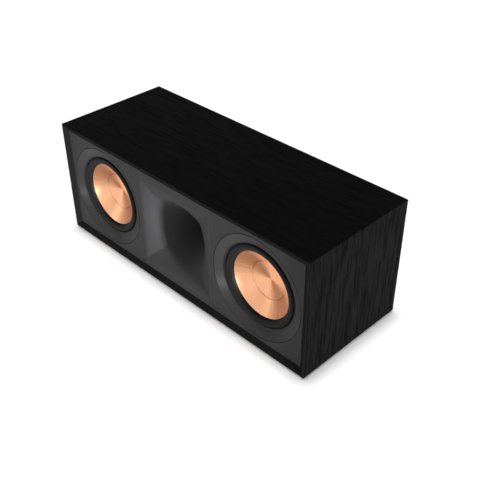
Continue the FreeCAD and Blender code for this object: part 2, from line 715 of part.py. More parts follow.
def surround(label, x):
    """The rubber half roll, from the cone's edge to a lip glued on the basket's flange."""
    roll = body(label, *woofer_place(x))
    foot = cone_radius + glue_gap
    crest = (foot + roll_outer) / 2
    lip_front = flange_front - lip_thickness
    fall = roll_shoulder / 4
    revolve(
        roll,
        [
            (foot, cone_edge_depth),
            (crest - roll_shoulder, roll_crest_depth + fall),
            (crest, roll_crest_depth),
            (crest + roll_shoulder, roll_crest_depth + fall),
            (roll_outer, lip_front),
            (lip_outer, lip_front),
            (lip_outer, flange_front),
            (roll_outer - lip_thickness, flange_front),
            (crest, roll_crest_depth + lip_thickness * 2),
            (foot + lip_thickness, cone_edge_depth + cone_wall),
            (foot, cone_edge_depth + cone_wall),
        ],
    )


def cone(label, x):
    """The spun metal cone, from its outer edge to the voice coil former."""
    funnel = body(label, *woofer_place(x))
    revolve(
        funnel,
        [
            (cone_radius, cone_edge_depth),
            (cone_radius, cone_edge_depth + cone_wall),
            (former_outer, neck_depth + cone_wall),
            (former_outer, neck_depth),
        ],
    )


def dust_cap(label, x):
    """A shallow inverted cone that closes the middle of the woofer cone."""
    cap = body(label, *woofer_place(x))
    edge = cap_radius - cap_wall
    revolve(
        cap,
        [
            (0, cap_apex_depth),
            (0, cap_apex_depth + cap_wall),
            (edge, cap_depth + cap_wall * cone_slope),
            (cap_radius, cap_depth),
        ],
    )


def voice_coil(label, x):
    """The former that the cone is glued to, with its winding in the magnet gap."""
    coil = body(label, *woofer_place(x))
    winding_front = basket_depth + (plate_thickness - winding_length) / 2
    winding_back = winding_front + winding_length
    revolve(
        coil,
        [
            (former_inner, neck_depth),
            (former_outer, neck_depth),
            (former_outer, winding_front),
            (former_outer + winding_wall, winding_front),
            (former_outer + winding_wall, winding_back),
            (former_inner, winding_back),
        ],
    )


def spider(label, x):
    """The cloth disc that centres the voice coil, glued to the basket's ledge."""
    inner, outer = former_outer + glue_gap, shelf_outer - spider_thickness
    front = shelf_depth - spider_thickness
    ring_plate(label, x, face_y, inner, outer, front, spider_thickness)


def ring_plate(label, x, y, inner, outer, start, thickness):
    """A plain turned ring."""
    ring = body(label, x, y, middle_z)
    end = start + thickness
    revolve(ring, [(inner, start), (outer, start), (outer, end), (inner, end)])


def woofer_motor(side, x):
    """Front plate, magnet and vented yoke behind the basket."""
    gap = former_outer + winding_wall + coil_gap
    ring_plate(side + "_front_plate", x, face_y, gap, plate_radius, basket_depth, plate_thickness)
    ring_plate(
        side + "_magnet", x, face_y, magnet_hole, magnet_radius, plate_back, magnet_thickness
    )
    yoke = body(side + "_yoke", *woofer_place(x))
    pole = former_inner - coil_gap
    revolve(
        yoke,
        [
            (vent_radius, basket_depth),
            (pole, basket_depth),
            (pole, magnet_back),
            (plate_radius, magnet_back),
            (plate_radius, magnet_back + plate_thickness),
            (vent_radius, magnet_back + plate_thickness),
        ],
    )


def woofer_fasteners():
    """The screws that hold the baskets to the baffle, hidden by the trim rings."""
    group = body("woofer_screws", 0, face_y, middle_z)
    for side in (-1, 1):
        for x, z in ring_places(woofer_screw_circle, woofer_screws, 45):
            x = side * woofer_offset + x
            screw(group, x, z, flange_front, woofer_screw_length, 1)


def woofer(side, x):
    trim_ring(side + "_trim_ring", x)
    basket(side + "_basket", x)
    surround(side + "_surround", x)
    cone(side + "_cone", x)
    dust_cap(side + "_dust_cap", x)
    voice_coil(side + "_voice_coil", x)
    spider(side + "_spider", x)
    woofer_motor(side, x)


def corner_of(half_width, depth):
    """Half the width between a section's corners: the full width at the mouth, a circle's later on."""
    round_share = 1 - exponential(-depth / horn_rounding)
    return half_width * (1 - (1 - math.sqrt(0.5)) * round_share)


def inside_section(owner, half_width):
    """A section of the flare: four arcs whose corners fade from sharp to round."""
    depth = tractrix_depth(half_width)
    corner = corner_of(half_width, depth)
    target = sketch(owner, "XZ_Plane", -depth)
    if depth.value == 0:
        return rectangle(target, half_width, half_width)
    rise = half_width - corner
    bend = (corner * corner + rise * rise) / (2 * rise)
    corners = [(corner, -corner), (corner, corner), (-corner, corner), (-corner, -corner)]
    return outline(target, [(*spot, bend) for spot in corners])


def outside_section(owner, half_width):
    """A section of the flare's plain outside: eight flats round the inside section."""
    depth = tractrix_depth(half_width)
    reach = half_width + horn_wall
    diagonal = corner_of(half_width, depth) * 2 + horn_wall * math.sqrt(2)
    flat = diagonal - reach
    target = sketch(owner, "XZ_Plane", -depth)
    right = [(reach, -flat), (reach, flat), (flat, reach), (-flat, reach)]
    left = [(-reach, flat), (-reach, -flat), (-flat, -reach), (flat, -reach)]
    return outline(target, right + left)


def flare(shell, kind, section, start, shares, ruled):
    """A loft through sections from a half width down to the throat's, at these shares of the way."""
    widths = [start - (start - horn_throat) * share for share in shares]
    sections = [section(shell, width) for width in widths]
    made = shell.newObject(kind, "flare")
    made.Profile = sections[0]
    made.Sections = sections[1:]
    made.Ruled = ruled


def horn():
    """The moulded horn: face plate, tractrix flare from a square mouth to a round throat, ribs."""
    shell = body("horn", 0, face_y, middle_z)
    face = rectangle(sketch(shell, "XZ_Plane"), horn_half_width, horn_half_height)
    pad(shell, face, horn_plate, reverse=True)
    widest = horn_cut - flare_inset
    pad(shell, outside_section(shell, widest), tractrix_depth(widest))
    outside = (0, 0.4, 0.68, 1)
    flare(shell, "PartDesign::AdditiveLoft", outside_section, widest, outside, True)
    ring = circle(
        sketch(shell, "XZ_Plane", throat_flange - horn_depth), 0, 0, throat_flange_radius
    )
    pad(shell, ring, throat_flange, reverse=True)
    bosses = sketch(shell, "XZ_Plane", -horn_plate)
    for x, z in four(boss_x, boss_z):
        circle(bosses, x, z, boss_radius)
    pad(shell, bosses, baffle_thickness - horn_plate - seam, reverse=True)
    rib = outline(
        sketch(shell, "XY_Plane"),
        [
            (horn_throat, baffle_thickness),
            (horn_cut - horn_wall * 2, baffle_thickness),
            (throat_flange_radius - horn_wall, horn_depth - throat_flange),
            (horn_throat, horn_depth - throat_flange),
        ],
    )
    around(shell, pad(shell, rib, rib_thickness, both_ways=True), ribs)
    inside = (0, 0.04, 0.14, 0.3, 0.52, 0.76, 1)
    flare(shell, "PartDesign::SubtractiveLoft", inside_section, horn_mouth, inside, False)
    pilots = sketch(shell, "XZ_Plane", seam - baffle_thickness)
    for x, z in four(boss_x, boss_z):
        circle(pilots, x, z, shank_radius + pilot_gap)
    pocket(shell, pilots, horn_screw_length, True)
    seats = sketch(shell, "XZ_Plane", -horn_depth)
    for x, z in ring_places(tweeter_screw_circle, tweeter_screws, 90):
        circle(seats, x, z, shank_radius + pilot_gap)
    pocket(shell, seats, tweeter_screw_length - plug_plate + pilot_gap, True)


def horn_fasteners():
    """Screws from inside the cabinet, through the baffle into the horn's bosses."""
    group = body("horn_screws", 0, face_y, middle_z)
    for x, z in four(boss_x, boss_z):
        screw(group, x, z, baffle_thickness, horn_screw_length, -1, horn_screw_head)


def tweeter_plug():
    """The tweeter's front plate with its phase plug on three arms."""
    plate = body("tweeter_phase_plug", 0, throat_y, middle_z)
    revolve(
        plate,
        [
            (horn_throat, 0),
            (throat_flange_radius, 0),
            (throat_flange_radius, plug_plate),
            (plug_step_radius, plug_plate),
            (plug_step_radius, plug_depth),
            (plug_recess_radius, plug_depth),
            (plug_recess_radius, plug_web),
            (horn_throat, plug_web),
        ],
    )
    arm = rectangle(
        sketch(plate, "XZ_Plane"), horn_throat / 2, plug_spoke / 2, horn_throat / 2 + plug_spoke, 0
    )
    around(plate, pad(plate, arm, plug_web, reverse=True), plug_spokes)
    revolve(plate, [(0, -plug_nose), (0, plug_web), (plug_radius, plug_web), (plug_radius, 0)])
    holes = sketch(plate, "XZ_Plane")
    for x, z in ring_places(tweeter_screw_circle, tweeter_screws, 90):
        circle(holes, x, z, shank_radius + pass_gap)
    pocket(plate, holes)


def tweeter_dome():
    """A thin low dome, its edge on the voice coil."""
    dome = body("tweeter_dome", 0, throat_y, middle_z)
    shoulder = dome_radius / 2
    apex = plug_depth - dome_height
    revolve(
        dome,
        [
            (0, apex),
            (shoulder, apex),
            (dome_radius, plug_depth),
            (dome_radius - dome_wall, plug_depth),
            (shoulder - dome_wall, apex + dome_wall),
            (0, apex + dome_wall),
        ],
    )


def tweeter_soft_and_coil():
    """The dome's flat suspension ring and its voice coil."""
    inner, outer = dome_radius + glue_gap, plug_recess_radius - seam
    start = plug_depth - dome_wall
    ring_plate("tweeter_suspension", 0, throat_y, inner, outer, start, dome_wall)
    inner = dome_radius - tweeter_former_wall
    ring_plate(
        "tweeter_voice_coil", 0, throat_y, inner, dome_radius, plug_depth, tweeter_coil_length
    )


def tweeter_motor():
    """Front plate, magnet, yoke and back cover of the tweeter."""
    ring_plate(
        "tweeter_front_plate",
        0,
        throat_y,
        dome_radius + coil_gap,
        tweeter_plate_radius,
        plug_depth,
        tweeter_plate_thickness,
    )
    ring_plate(
        "tweeter_magnet",
        0,
        throat_y,
        tweeter_magnet_hole,
        tweeter_magnet_radius,
        tweeter_plate_back,
        tweeter_magnet_thickness,
    )
    yoke = body("tweeter_yoke", 0, throat_y, middle_z)
    pole = dome_radius - tweeter_former_wall - coil_gap
    revolve(
        yoke,
        [
            (0, plug_depth + dome_wall),
            (pole, plug_depth + dome_wall),
            (pole, tweeter_magnet_back),
            (tweeter_plate_radius, tweeter_magnet_back),
            (tweeter_plate_radius, tweeter_yoke_back),
            (0, tweeter_yoke_back),
        ],
    )
    cover = body("tweeter_back_cover", 0, throat_y, middle_z)
    inside = tweeter_magnet_radius + cover_gap
    revolve(
        cover,
        [
            (inside, tweeter_plate_back),
            (inside + cover_wall, tweeter_plate_back),
            (inside + cover_wall, tweeter_yoke_back + cover_wall),
            (0, tweeter_yoke_back + cover_wall),
            (0, tweeter_yoke_back),
            (inside, tweeter_yoke_back),
        ],
    )


def tweeter_fasteners():
    """Screws that hold the tweeter to the horn's throat flange."""
    group = body("tweeter_screws", 0, throat_y, middle_z)
    for x, z in ring_places(tweeter_screw_circle, tweeter_screws, 90):
        screw(group, x, z, plug_plate, tweeter_screw_length, -1)


def port_tube():
    """The moulded port: a flange let into the rear board, a flared mouth and a straight tube."""
    tube = body("port_tube", -port_offset, back_y, middle_z)
    mouth = port_radius + port_flare
    turns = [math.radians(angle) for angle in (0, 30, 60, 90)]
    flared = [(mouth - port_flare * math.cos(a), port_flare * (math.sin(a) - 1)) for a in turns]
    revolve(
        tube,
        flared
        + [
            (mouth + port_flange_width, 0),
            (mouth + port_flange_width, -port_flange),
            (mouth - port_flange, -port_flange),
            (port_radius + port_wall, -port_flare - port_wall),
            (port_radius + port_wall, -port_length),
            (port_radius, -port_length),
        ],
    )


def terminal_cup():
    """The moulded recess for the binding posts, with its screwed flange."""
    cup = body("terminal_cup", 0, cup_y, middle_z)
    plate = rectangle(sketch(cup, "XZ_Plane"), cup_width / 2, cup_height / 2)
    pad(cup, plate, cup_flange)
    half_x = cup_width / 2 - cup_rim
    half_z = cup_height / 2 - cup_rim
    outer = rounded_rectangle(
        sketch(cup, "XZ_Plane"),
        half_x + cup_wall - pilot_gap,
        half_z + cup_wall - pilot_gap,
        cup_corner + cup_wall,
    )
    pad(cup, outer, cup_depth + cup_wall)
    recess = rounded_rectangle(sketch(cup, "XZ_Plane"), half_x, half_z, cup_corner)
    pocket(cup, recess, cup_depth, True)
    holes = sketch(cup, "XZ_Plane")
    for x, z in four(terminal_screw_x, terminal_screw_z):
        circle(holes, x, z, shank_radius + pass_gap)
    for side in (-1, 1):
        circle(holes, side * post_spacing / 2, 0, post_radius + pilot_gap)
    pocket(cup, holes, None, True)


def panel_fasteners():
    """The alike screws of the terminal cup, driven from behind, and of the crossover board."""
    group = body("panel_screws", 0, cup_y, middle_z)
    for x, z in four(terminal_screw_x, terminal_screw_z):
        screw(group, x, z, 0, panel_screw_length, -1)
    for x, z in crossover_screw_places():
        screw(group, crossover_offset + x, z, crossover_front - cup_y, panel_screw_length, 1)


def binding_post(colour, x):
    """One binding post: a stem with a plug socket, a pressure washer, and a fluted cap on its
    threaded insert."""
    floor = -cup_depth
    tail = post_y - cup_y
    collar = floor + post_collar
    stem = body(colour + "_post_stem", x, cup_y, middle_z)
    revolve(
        stem,
        [
            (0, tail),
            (post_radius, tail),
            (post_radius, floor),
            (post_collar_radius, floor),
            (post_collar_radius, collar),
            (post_radius, collar),
            (post_radius, -post_end),
            (socket_radius, -post_end),
            (socket_radius, -post_end - socket_length),
            (0, -post_end - socket_length),
        ],
    )
    across = circle(sketch(stem, "YZ_Plane"), collar + wire_hole_height, 0, wire_hole_radius)
    pocket(stem, across, both_ways=True)
    washer_start = collar + stop_gap
    ring_plate(
        colour + "_clamp_washer",
        x,
        cup_y,
        post_radius + thread_gap,
        post_collar_radius,
        washer_start,
        washer_thickness,
    )
    cap_start = washer_start + washer_thickness + stop_gap
    insert_inside = stop_gap - post_end
    cap_end = insert_inside + insert_end
    insert = body(colour + "_cap_insert", x, cup_y, middle_z)
    revolve(
        insert,
        [
            (post_radius + thread_gap, cap_start),
            (insert_radius, cap_start),
            (insert_radius, cap_end),
            (plug_hole, cap_end),
            (plug_hole, insert_inside),
            (post_radius + thread_gap, insert_inside),
        ],
    )
    cap = body(colour + "_post_cap", x, cup_y, middle_z)
    revolve(
        cap,
        [
            (insert_radius, cap_start),
            (grip_radius, cap_start),
            (grip_radius, cap_end - insert_end),
            (grip_radius - insert_end, cap_end),
            (insert_radius, cap_end),
        ],
    )
    flute = circle(
        sketch(cap, "XZ_Plane", -(cap_start + grip_foot)), grip_radius + grip_flute / 2, 0, grip_flute
    )
    around(cap, pocket(cap, flute, post_end - cap_start, reverse=False), grip_flutes)


def post_nuts():
    """The nuts behind the terminal cup's floor."""
    nuts = body("post_nuts", 0, cup_y, middle_z)
    flat = nut_flats / 2
    corner = flat / math.cos(math.radians(30))
    for side in (-1, 1):
        middle = side * post_spacing / 2
        points = [
            (middle + corner, 0),
            (middle + corner / 2, flat),
            (middle - corner / 2, flat),
            (middle - corner, 0),
            (middle - corner / 2, -flat),
            (middle + corner / 2, -flat),
        ]
        blank = outline(sketch(nuts, "XZ_Plane", cup_depth + cup_wall), points)
        circle(blank, middle, 0, post_radius + pilot_gap)
        pad(nuts, blank, nut_height)


def crossover_screw_places():
    """Two opposite corners of the crossover board."""
    x = crossover_width / 2 - crossover_screw_inset
    z = crossover_height / 2 - crossover_screw_inset
    return [(-x, z), (x, -z)]


def crossover():
    """The crossover: a board screwed inside the rear board, with its coils, capacitors, resistor."""
    board = body("crossover_board", crossover_offset, inside_back_y, middle_z)
    plate = rectangle(sketch(board, "XZ_Plane"), crossover_width / 2, crossover_height / 2)
    for x, z in crossover_screw_places():
        circle(plate, x, z, shank_radius + pass_gap)
    pad(board, plate, crossover_board)
    quarter_x, quarter_z = crossover_width / 4, crossover_height / 4
    inductor("woofer_inductor", -quarter_x, -quarter_z / 2, coil_bore, coil_radius, coil_height)
    small = small_coil_bore, small_coil_radius, small_coil_height
    inductor("tweeter_inductor", quarter_x, -quarter_z, *small)
    capacitors = body("crossover_capacitors", crossover_offset, crossover_front, middle_z)
    for level in (0, 1):
        z = quarter_z / 4 + capacitor_spacing * level
        round_end = sketch(capacitors, "YZ_Plane", quarter_x / 4)
        pad(capacitors, circle(round_end, -capacitor_radius, z, capacitor_radius), capacitor_length)
    resistor = body("crossover_resistor", crossover_offset, crossover_front, middle_z)
    block = rectangle(
        sketch(resistor, "XZ_Plane"), resistor_width / 2, resistor_height / 2, -quarter_x, quarter_z * 1.2
    )
    pad(resistor, block, resistor_height)


def inductor(label, x, z, bore, radius, tall):
    """A wound coil standing on the crossover board."""
    coil = body(label, crossover_offset + x, crossover_front, middle_z + z)
    revolve(coil, [(bore, 0), (radius, 0), (radius, -tall), (bore, -tall)])


def wire(points):
    """A plain round wire through these places, mitred where it turns."""
    spots = [FreeCAD.Vector(*(length(value).value for value in point)) for point in points]
    section = Part.Wire(Part.makeCircle(wire_radius.value, spots[0], spots[1] - spots[0]))
    return Part.makePolygon(spots).makePipeShell([section], True, False, 1)


def driver_wire(side, lift):
    """Where a wire runs back from a woofer's basket, beside its magnet."""
    circle_radius = magnet_radius + wire_clearance + wire_radius
    x = side * woofer_offset - side * root(circle_radius * circle_radius - lift * lift)
    slope = (basket_depth - recess_depth) / (roll_outer + basket_wall - basket_back_radius)
    edge = circle_radius - wire_radius
    touch = recess_depth + (roll_outer + basket_wall - edge) * slope
    return x, face_y + touch + seam


def internal_wires():
    """Twin wires in sleeves from the posts to the crossover and from it to each driver."""
    edge_x = crossover_offset - crossover_width / 2 + wire_radius * 2
    post_x = post_spacing / 2
    far_row, near_row = wire_pitch * 3, wire_pitch * 1.5
    high, low = middle_z + far_row, middle_z - far_row
    down = middle_z - wire_pitch
    left_x, basket_y = driver_wire(-1, far_row)
    right_x, _ = driver_wire(1, near_row)
    routes = [
        [
            (post_x, post_y, middle_z),
            (post_x, lane_y, middle_z),
            (edge_x, lane_y, middle_z),
            (edge_x, crossover_front, middle_z),
        ],
        [
            (-post_x, post_y, middle_z),
            (-post_x, lane_y, middle_z),
            (-post_x, lane_y, down),
            (edge_x, lane_y, down),
            (edge_x, crossover_front, down),
        ],
        [
            (left_x, basket_y, high),
            (left_x, lane_y, high),
            (edge_x, lane_y, high),
            (edge_x, crossover_front, high),
        ],
        [
            (0, cover_y, low),
            (0, lane_y, low),
            (edge_x, lane_y, low),
            (edge_x, crossover_front, low),
        ],
        [
            (right_x, basket_y, middle_z + near_row),
            (right_x, crossover_front, middle_z + near_row),
        ],
    ]
    made = doc.addObject("Part::Feature", "signal_wires")
    made.Label = "signal_wires"
    made.Shape = Part.makeCompound([wire(route) for route in routes])
    pieces.append(made)


def write_pieces():
    """Check every object and write each sub-part's solids."""
    doc.recompute()
    for thing in doc.Objects:
        if "Invalid" in thing.State or "Error" in thing.State:
            raise ValueError(f"{thing.Name} ({thing.Label}) is {thing.State}")
    for piece in pieces:
        shape = piece.Shape
        if shape.isNull() or not shape.isValid() or not shape.Solids:
            raise ValueError(f"{piece.Label} has no valid solid")
        shape.exportStep(f"parts/{piece.Label}.step")


cabinet_walls()
front_baffle()
rear_panel()
brace("left_brace", -brace_offset)
brace("right_brace", brace_offset)
rubber_feet()
damping_wadding()
woofer("left", -woofer_offset)
woofer("right", woofer_offset)
woofer_fasteners()
horn()
horn_fasteners()
tweeter_plug()
tweeter_dome()
tweeter_soft_and_coil()
tweeter_motor()
tweeter_fasteners()
port_tube()
terminal_cup()
panel_fasteners()
binding_post("red", post_spacing / 2)
binding_post("black", -post_spacing / 2)
post_nuts()
crossover()
internal_wires()
write_pieces()
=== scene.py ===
"""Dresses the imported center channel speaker: turned and moulded surfaces, finishes, light and camera."""

import math

import bpy
import numpy as np
from mathutils import Matrix, Vector


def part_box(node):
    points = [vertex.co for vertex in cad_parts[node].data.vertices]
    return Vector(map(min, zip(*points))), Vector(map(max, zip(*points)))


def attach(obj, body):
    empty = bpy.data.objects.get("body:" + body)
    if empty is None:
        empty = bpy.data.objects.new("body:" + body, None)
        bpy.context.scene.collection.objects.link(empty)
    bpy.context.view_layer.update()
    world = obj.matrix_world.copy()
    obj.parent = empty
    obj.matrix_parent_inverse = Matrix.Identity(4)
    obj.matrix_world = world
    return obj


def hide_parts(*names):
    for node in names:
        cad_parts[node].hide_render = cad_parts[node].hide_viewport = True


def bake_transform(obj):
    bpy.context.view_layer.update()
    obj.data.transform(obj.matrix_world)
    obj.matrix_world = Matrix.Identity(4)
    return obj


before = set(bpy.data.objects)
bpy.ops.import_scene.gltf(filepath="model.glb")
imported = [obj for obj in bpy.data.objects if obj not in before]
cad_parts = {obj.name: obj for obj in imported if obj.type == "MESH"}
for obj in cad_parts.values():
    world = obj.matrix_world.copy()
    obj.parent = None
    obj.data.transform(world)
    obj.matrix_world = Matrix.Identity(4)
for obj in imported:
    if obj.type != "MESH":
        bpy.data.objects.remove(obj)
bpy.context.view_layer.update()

bl_info = {
    "name": "Center channel speaker",
    "version": (1, 0, 0),
    "blender": (4, 5, 0),
    "location": "View3D > Sidebar > Speaker",
    "description": "Surfaces and finishes for a two-woofer horn speaker",
    "category": "Object",
}

SIDES = ("left", "right")
MM = 0.001
TURN = 2 * math.pi


def middle(node):
    """The middle of a CAD node's box."""
    low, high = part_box(node)
    return (low + high) / 2


def half_across(node):
    """Half of a CAD node's width: its radius, if it is round."""
    low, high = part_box(node)
    return (high.x - low.x) / 2


# What a user may change


class SpeakerSizes(bpy.types.PropertyGroup):
    """Sizes of the speaker's dressed pieces."""

    edge_rounding: bpy.props.FloatProperty(
        name="Board edge",
        description="Rounding of the wrapped boards' edges",
        default=0.45 * MM,
        unit="LENGTH",
    )
    groove_depth: bpy.props.FloatProperty(
        name="Spinning groove",
        description="Depth of the fine grooves in the spun cones",
        default=0.012 * MM,
        unit="LENGTH",
    )
    grain_depth: bpy.props.FloatProperty(
        name="Wood grain",
        description="Depth of the embossed grain in the vinyl",
        default=0.09 * MM,
        unit="LENGTH",
    )
    # painted reflection: the angle at which the copper's painted pale sectors lie
    pale_sector: bpy.props.FloatProperty(
        name="Pale sector",
        description="Where the copper's pale sectors lie, anticlockwise from the right",
        default=math.radians(229),
        subtype="ANGLE",
    )
    camera_lens: bpy.props.FloatProperty(
        name="Lens", description="Focal length of the camera, in millimetres", default=57.89
    )


def colour_property(name, description, default):
    """A colour that a user can change."""
    return bpy.props.FloatVectorProperty(
        name=name, description=description, default=default, subtype="COLOR", size=3, min=0, max=1
    )


class SpeakerColours(bpy.types.PropertyGroup):
    """Colours of the speaker's finishes."""

    vinyl: colour_property("Vinyl", "Raised parts of the ash-grain vinyl", (0.0040, 0.0038, 0.0038))
    # painted highlight: the paler colour given to the forward-facing edges and bevels
    vinyl_edge: colour_property("Vinyl edges", "Front edges and bevels", (0.0095, 0.0093, 0.0093))
    vinyl_pore: colour_property("Vinyl pores", "Low parts of the grain", (0.0012, 0.0011, 0.0011))
    baffle: colour_property("Baffle", "Satin paint of the front board", (0.029, 0.029, 0.030))
    plastic: colour_property("Plastic", "Trim rings and horn", (0.028, 0.028, 0.029))
    rubber: colour_property("Rubber", "Surrounds and feet", (0.006, 0.006, 0.006))
    copper: colour_property("Copper", "Spun cones and dust caps", (0.9, 0.478, 0.275))
    floor: colour_property("Floor", "Studio floor", (0.92, 0.92, 0.92))


# Finishes


class Finish:
    """A material in the making: its surface shader and the patterns that feed it."""

    def __init__(self, name, colour, roughness, metallic=0.0, **sockets):
        self.material = bpy.data.materials.new(name)
        self.material.use_nodes = True
        self.tree = self.material.node_tree
        self.shader = self.tree.nodes["Principled BSDF"]
        self.set(self.shader, {"Base Color": (*colour, 1), "Roughness": roughness, "Metallic": metallic})
        self.set(self.shader, {name.replace("_", " "): value for name, value in sockets.items()})
        coordinates = self.tree.nodes.new("ShaderNodeTexCoord").outputs
        self.place, self.facing = coordinates["Object"], coordinates["Normal"]

    @staticmethod
    def set(node, sockets):
        """Fill a node's input sockets by name."""
        for socket, value in sockets.items():
            node.inputs[socket].default_value = value

    def node(self, kind, links=(), sockets=(), **settings):
        """A new node with its settings, fixed sockets and links into it."""
        made = self.tree.nodes.new(kind)
        for setting, value in settings.items():
            setattr(made, setting, value)
        self.set(made, dict(sockets))
        for socket, source in dict(links).items():
            self.tree.links.new(source, made.inputs[socket])
        return made

    def maths(self, operation, links, sockets=()):
        """The result of one sum on numbers."""
        return self.node("ShaderNodeMath", links, sockets, operation=operation).outputs[0]

    def noise(self, scale, detail=3, stretch=(1, 1, 1), place=None):
        """Noise whose cells are 1/scale metres, divided along each axis by stretch."""
        mapped = self.node("ShaderNodeMapping", {"Vector": place or self.place}, {"Scale": stretch})
        return self.node(
            "ShaderNodeTexNoise", {"Vector": mapped.outputs[0]}, {"Scale": scale, "Detail": detail}
        ).outputs["Fac"]

    def spread(self, value, low, high, start=0.0, end=1.0):
        """value from start..end mapped to low..high."""
        return self.node(
            "ShaderNodeMapRange",
            {"Value": value},
            {"From Min": start, "From Max": end, "To Min": low, "To Max": high},
        ).outputs["Result"]

    def blend(self, factor, one, two):
        """one where factor is 0 and two where it is 1."""
        mix = self.node("ShaderNodeMix", {"Factor": factor}, data_type="RGBA")
        for socket, colour in ((6, one), (7, two)):
            if isinstance(colour, bpy.types.NodeSocket):
                self.tree.links.new(colour, mix.inputs[socket])
            else:
                mix.inputs[socket].default_value = (*colour, 1)
        return mix.outputs[2]

    def colour_from(self, factor, one, two):
        """Let the base colour run from one to two."""
        self.tree.links.new(self.blend(factor, one, two), self.shader.inputs["Base Color"])
        return self

    def roughness_from(self, factor, low, high):
        """Let the roughness run from low to high."""
        self.tree.links.new(self.spread(factor, low, high), self.shader.inputs["Roughness"])
        return self

    def bump(self, height, depth):
        """Raise the surface by depth metres where height is 1."""
        bump = self.node("ShaderNodeBump", {"Height": height}, {"Distance": depth, "Strength": 1})
        before = self.shader.inputs["Normal"].links
        if before:
            self.tree.links.new(before[0].from_socket, bump.inputs["Normal"])
        self.tree.links.new(bump.outputs["Normal"], self.shader.inputs["Normal"])
        return self


def kept(make):
    """Make each material once, however many pieces share it."""

    def once(*choice):
        name = "_".join(("speaker", make.__name__, *choice))
        return bpy.data.materials.get(name) or make(name, *choice).material

    return once


def sizes():
    return bpy.context.scene.speaker_sizes


def colours():
    return bpy.context.scene.speaker_colours


@kept
def ash_vinyl(name, run):
    """Black embossed vinyl: long pores along the board, in two widths. The faces that look
    forwards, the front edges and bevels, are painted paler: a painted highlight of the front light."""
    stretch, tones = {
        "along": ((0.05, 1, 1), (0.5, 0.8)),
        "upright": ((1, 1, 0.05), (0, 0.85)),
    }[run]
    finish = Finish(name, colours().vinyl, 0.5, IOR=1.05)
    wide = finish.noise(260, 4, stretch)
    fine = finish.noise(900, 3, stretch)
    pores = finish.maths("ADD", {0: wide, 1: fine})
    grain = finish.spread(pores, 0, 1, 0.88, 1.08)
    # painted highlight: faces whose normal points forwards, to -y, are painted paler
    facing = finish.node("ShaderNodeSeparateXYZ", {0: finish.facing}).outputs["Y"]
    painted_front_light = finish.spread(facing, 0, 1, -0.3, -0.6)
    finish.colour_from(
        painted_front_light,
        finish.blend(finish.spread(grain, *tones), colours().vinyl_pore, colours().vinyl),
        colours().vinyl_edge,
    )
    finish.roughness_from(grain, 0.62, 0.44)
    return finish.bump(grain, sizes().grain_depth)


@kept
def satin_paint(name):
    """The baffle's dark satin coat, with a slight orange peel."""
    finish = Finish(name, colours().baffle, 0.5, IOR=1.2)
    cloud = finish.noise(18, 2)
    finish.colour_from(cloud, *([c * f for c in colours().baffle] for f in (0.96, 1.04)))
    finish.roughness_from(finish.noise(140), 0.5, 0.62)
    return finish.bump(finish.noise(1500, 2), 0.02 * MM)


@kept
def moulded_plastic(name, use="ring"):
    """Matt moulded plastic with a spark-eroded texture. The round pieces have the fine lathe
    marks of their mould, so that their sheen gathers in fans."""
    tone, extra, index, lathe_marks = {
        "ring": (0.75, 0.03, 1.3, 0.9),
        "horn": (1.45, 0.0, 1.13, 0.0),
    }[use]
    finish = Finish(name, colours().plastic, 0.42, IOR=index, Anisotropic=lathe_marks)
    if lathe_marks:
        tangent = finish.node("ShaderNodeTangent", direction_type="UV_MAP", uv_map="turned")
        finish.tree.links.new(tangent.outputs[0], finish.shader.inputs["Tangent"])
    cloud = finish.noise(30, 2)
    finish.colour_from(cloud, *([c * tone * f for c in colours().plastic] for f in (0.88, 1.1)))
    finish.roughness_from(finish.noise(220), 0.44 + extra, 0.56 + extra)
    return finish.bump(finish.noise(2600, 2), 0.025 * MM)


@kept
def black_rubber(name):
    """Butyl rubber with a faint bloom."""
    finish = Finish(name, colours().rubber, 0.5, IOR=1.2)
    finish.roughness_from(finish.noise(60, 4), 0.42, 0.56)
    return finish.bump(finish.noise(1800, 3), 0.012 * MM)


@kept
def spun_copper(name):
    """Copper-coloured metal with fine grooves round its axis, so that its glints run outwards.
    Its base colour holds painted reflections: two pale and two deep sectors follow
    cos 2(angle - painted reflection angle), like the lamps' fans on a turned metal, with fine painted rays
    over them."""
    finish = Finish(name, colours().copper, 0.46, 1.0, Anisotropic=0.8)
    chart = finish.node("ShaderNodeUVMap", uv_map="turned").outputs["UV"]
    tangent = finish.node("ShaderNodeTangent", direction_type="UV_MAP", uv_map="turned")
    finish.tree.links.new(tangent.outputs[0], finish.shader.inputs["Tangent"])
    grooves = finish.noise(1, 3, (260, 5, 1), chart)
    finish.roughness_from(grooves, 0.4, 0.52)
    way_round = finish.node("ShaderNodeSeparateXYZ", {0: chart}).outputs["Y"]
    angle = finish.maths("MULTIPLY", {0: way_round}, {1: TURN})
    circle = finish.node(
        "ShaderNodeCombineXYZ",
        {"X": finish.maths("COSINE", {0: angle}), "Y": finish.maths("SINE", {0: angle})},
    ).outputs[0]
    # painted reflection: the base colour turns pale and deep in two fans round the axis, with noise rays,
    # standing in for the lamps' glints on spun metal
    twice = finish.maths("MULTIPLY_ADD", {0: angle}, {1: 2, 2: -2 * sizes().pale_sector})
    rays = finish.noise(9, 2, place=circle)
    fans = finish.maths("MULTIPLY_ADD", {0: rays, 2: finish.maths("COSINE", {0: twice})}, {1: 0.9})
    # painted shade: the copper's colour in the dark fans of the painted reflection
    deep = [part * share for part, share in zip(colours().copper, (0.5, 0.43, 0.38))]
    finish.colour_from(finish.spread(fans, 0, 1, -0.5, 0.75), deep, colours().copper)
    return finish.bump(grooves, sizes().groove_depth)


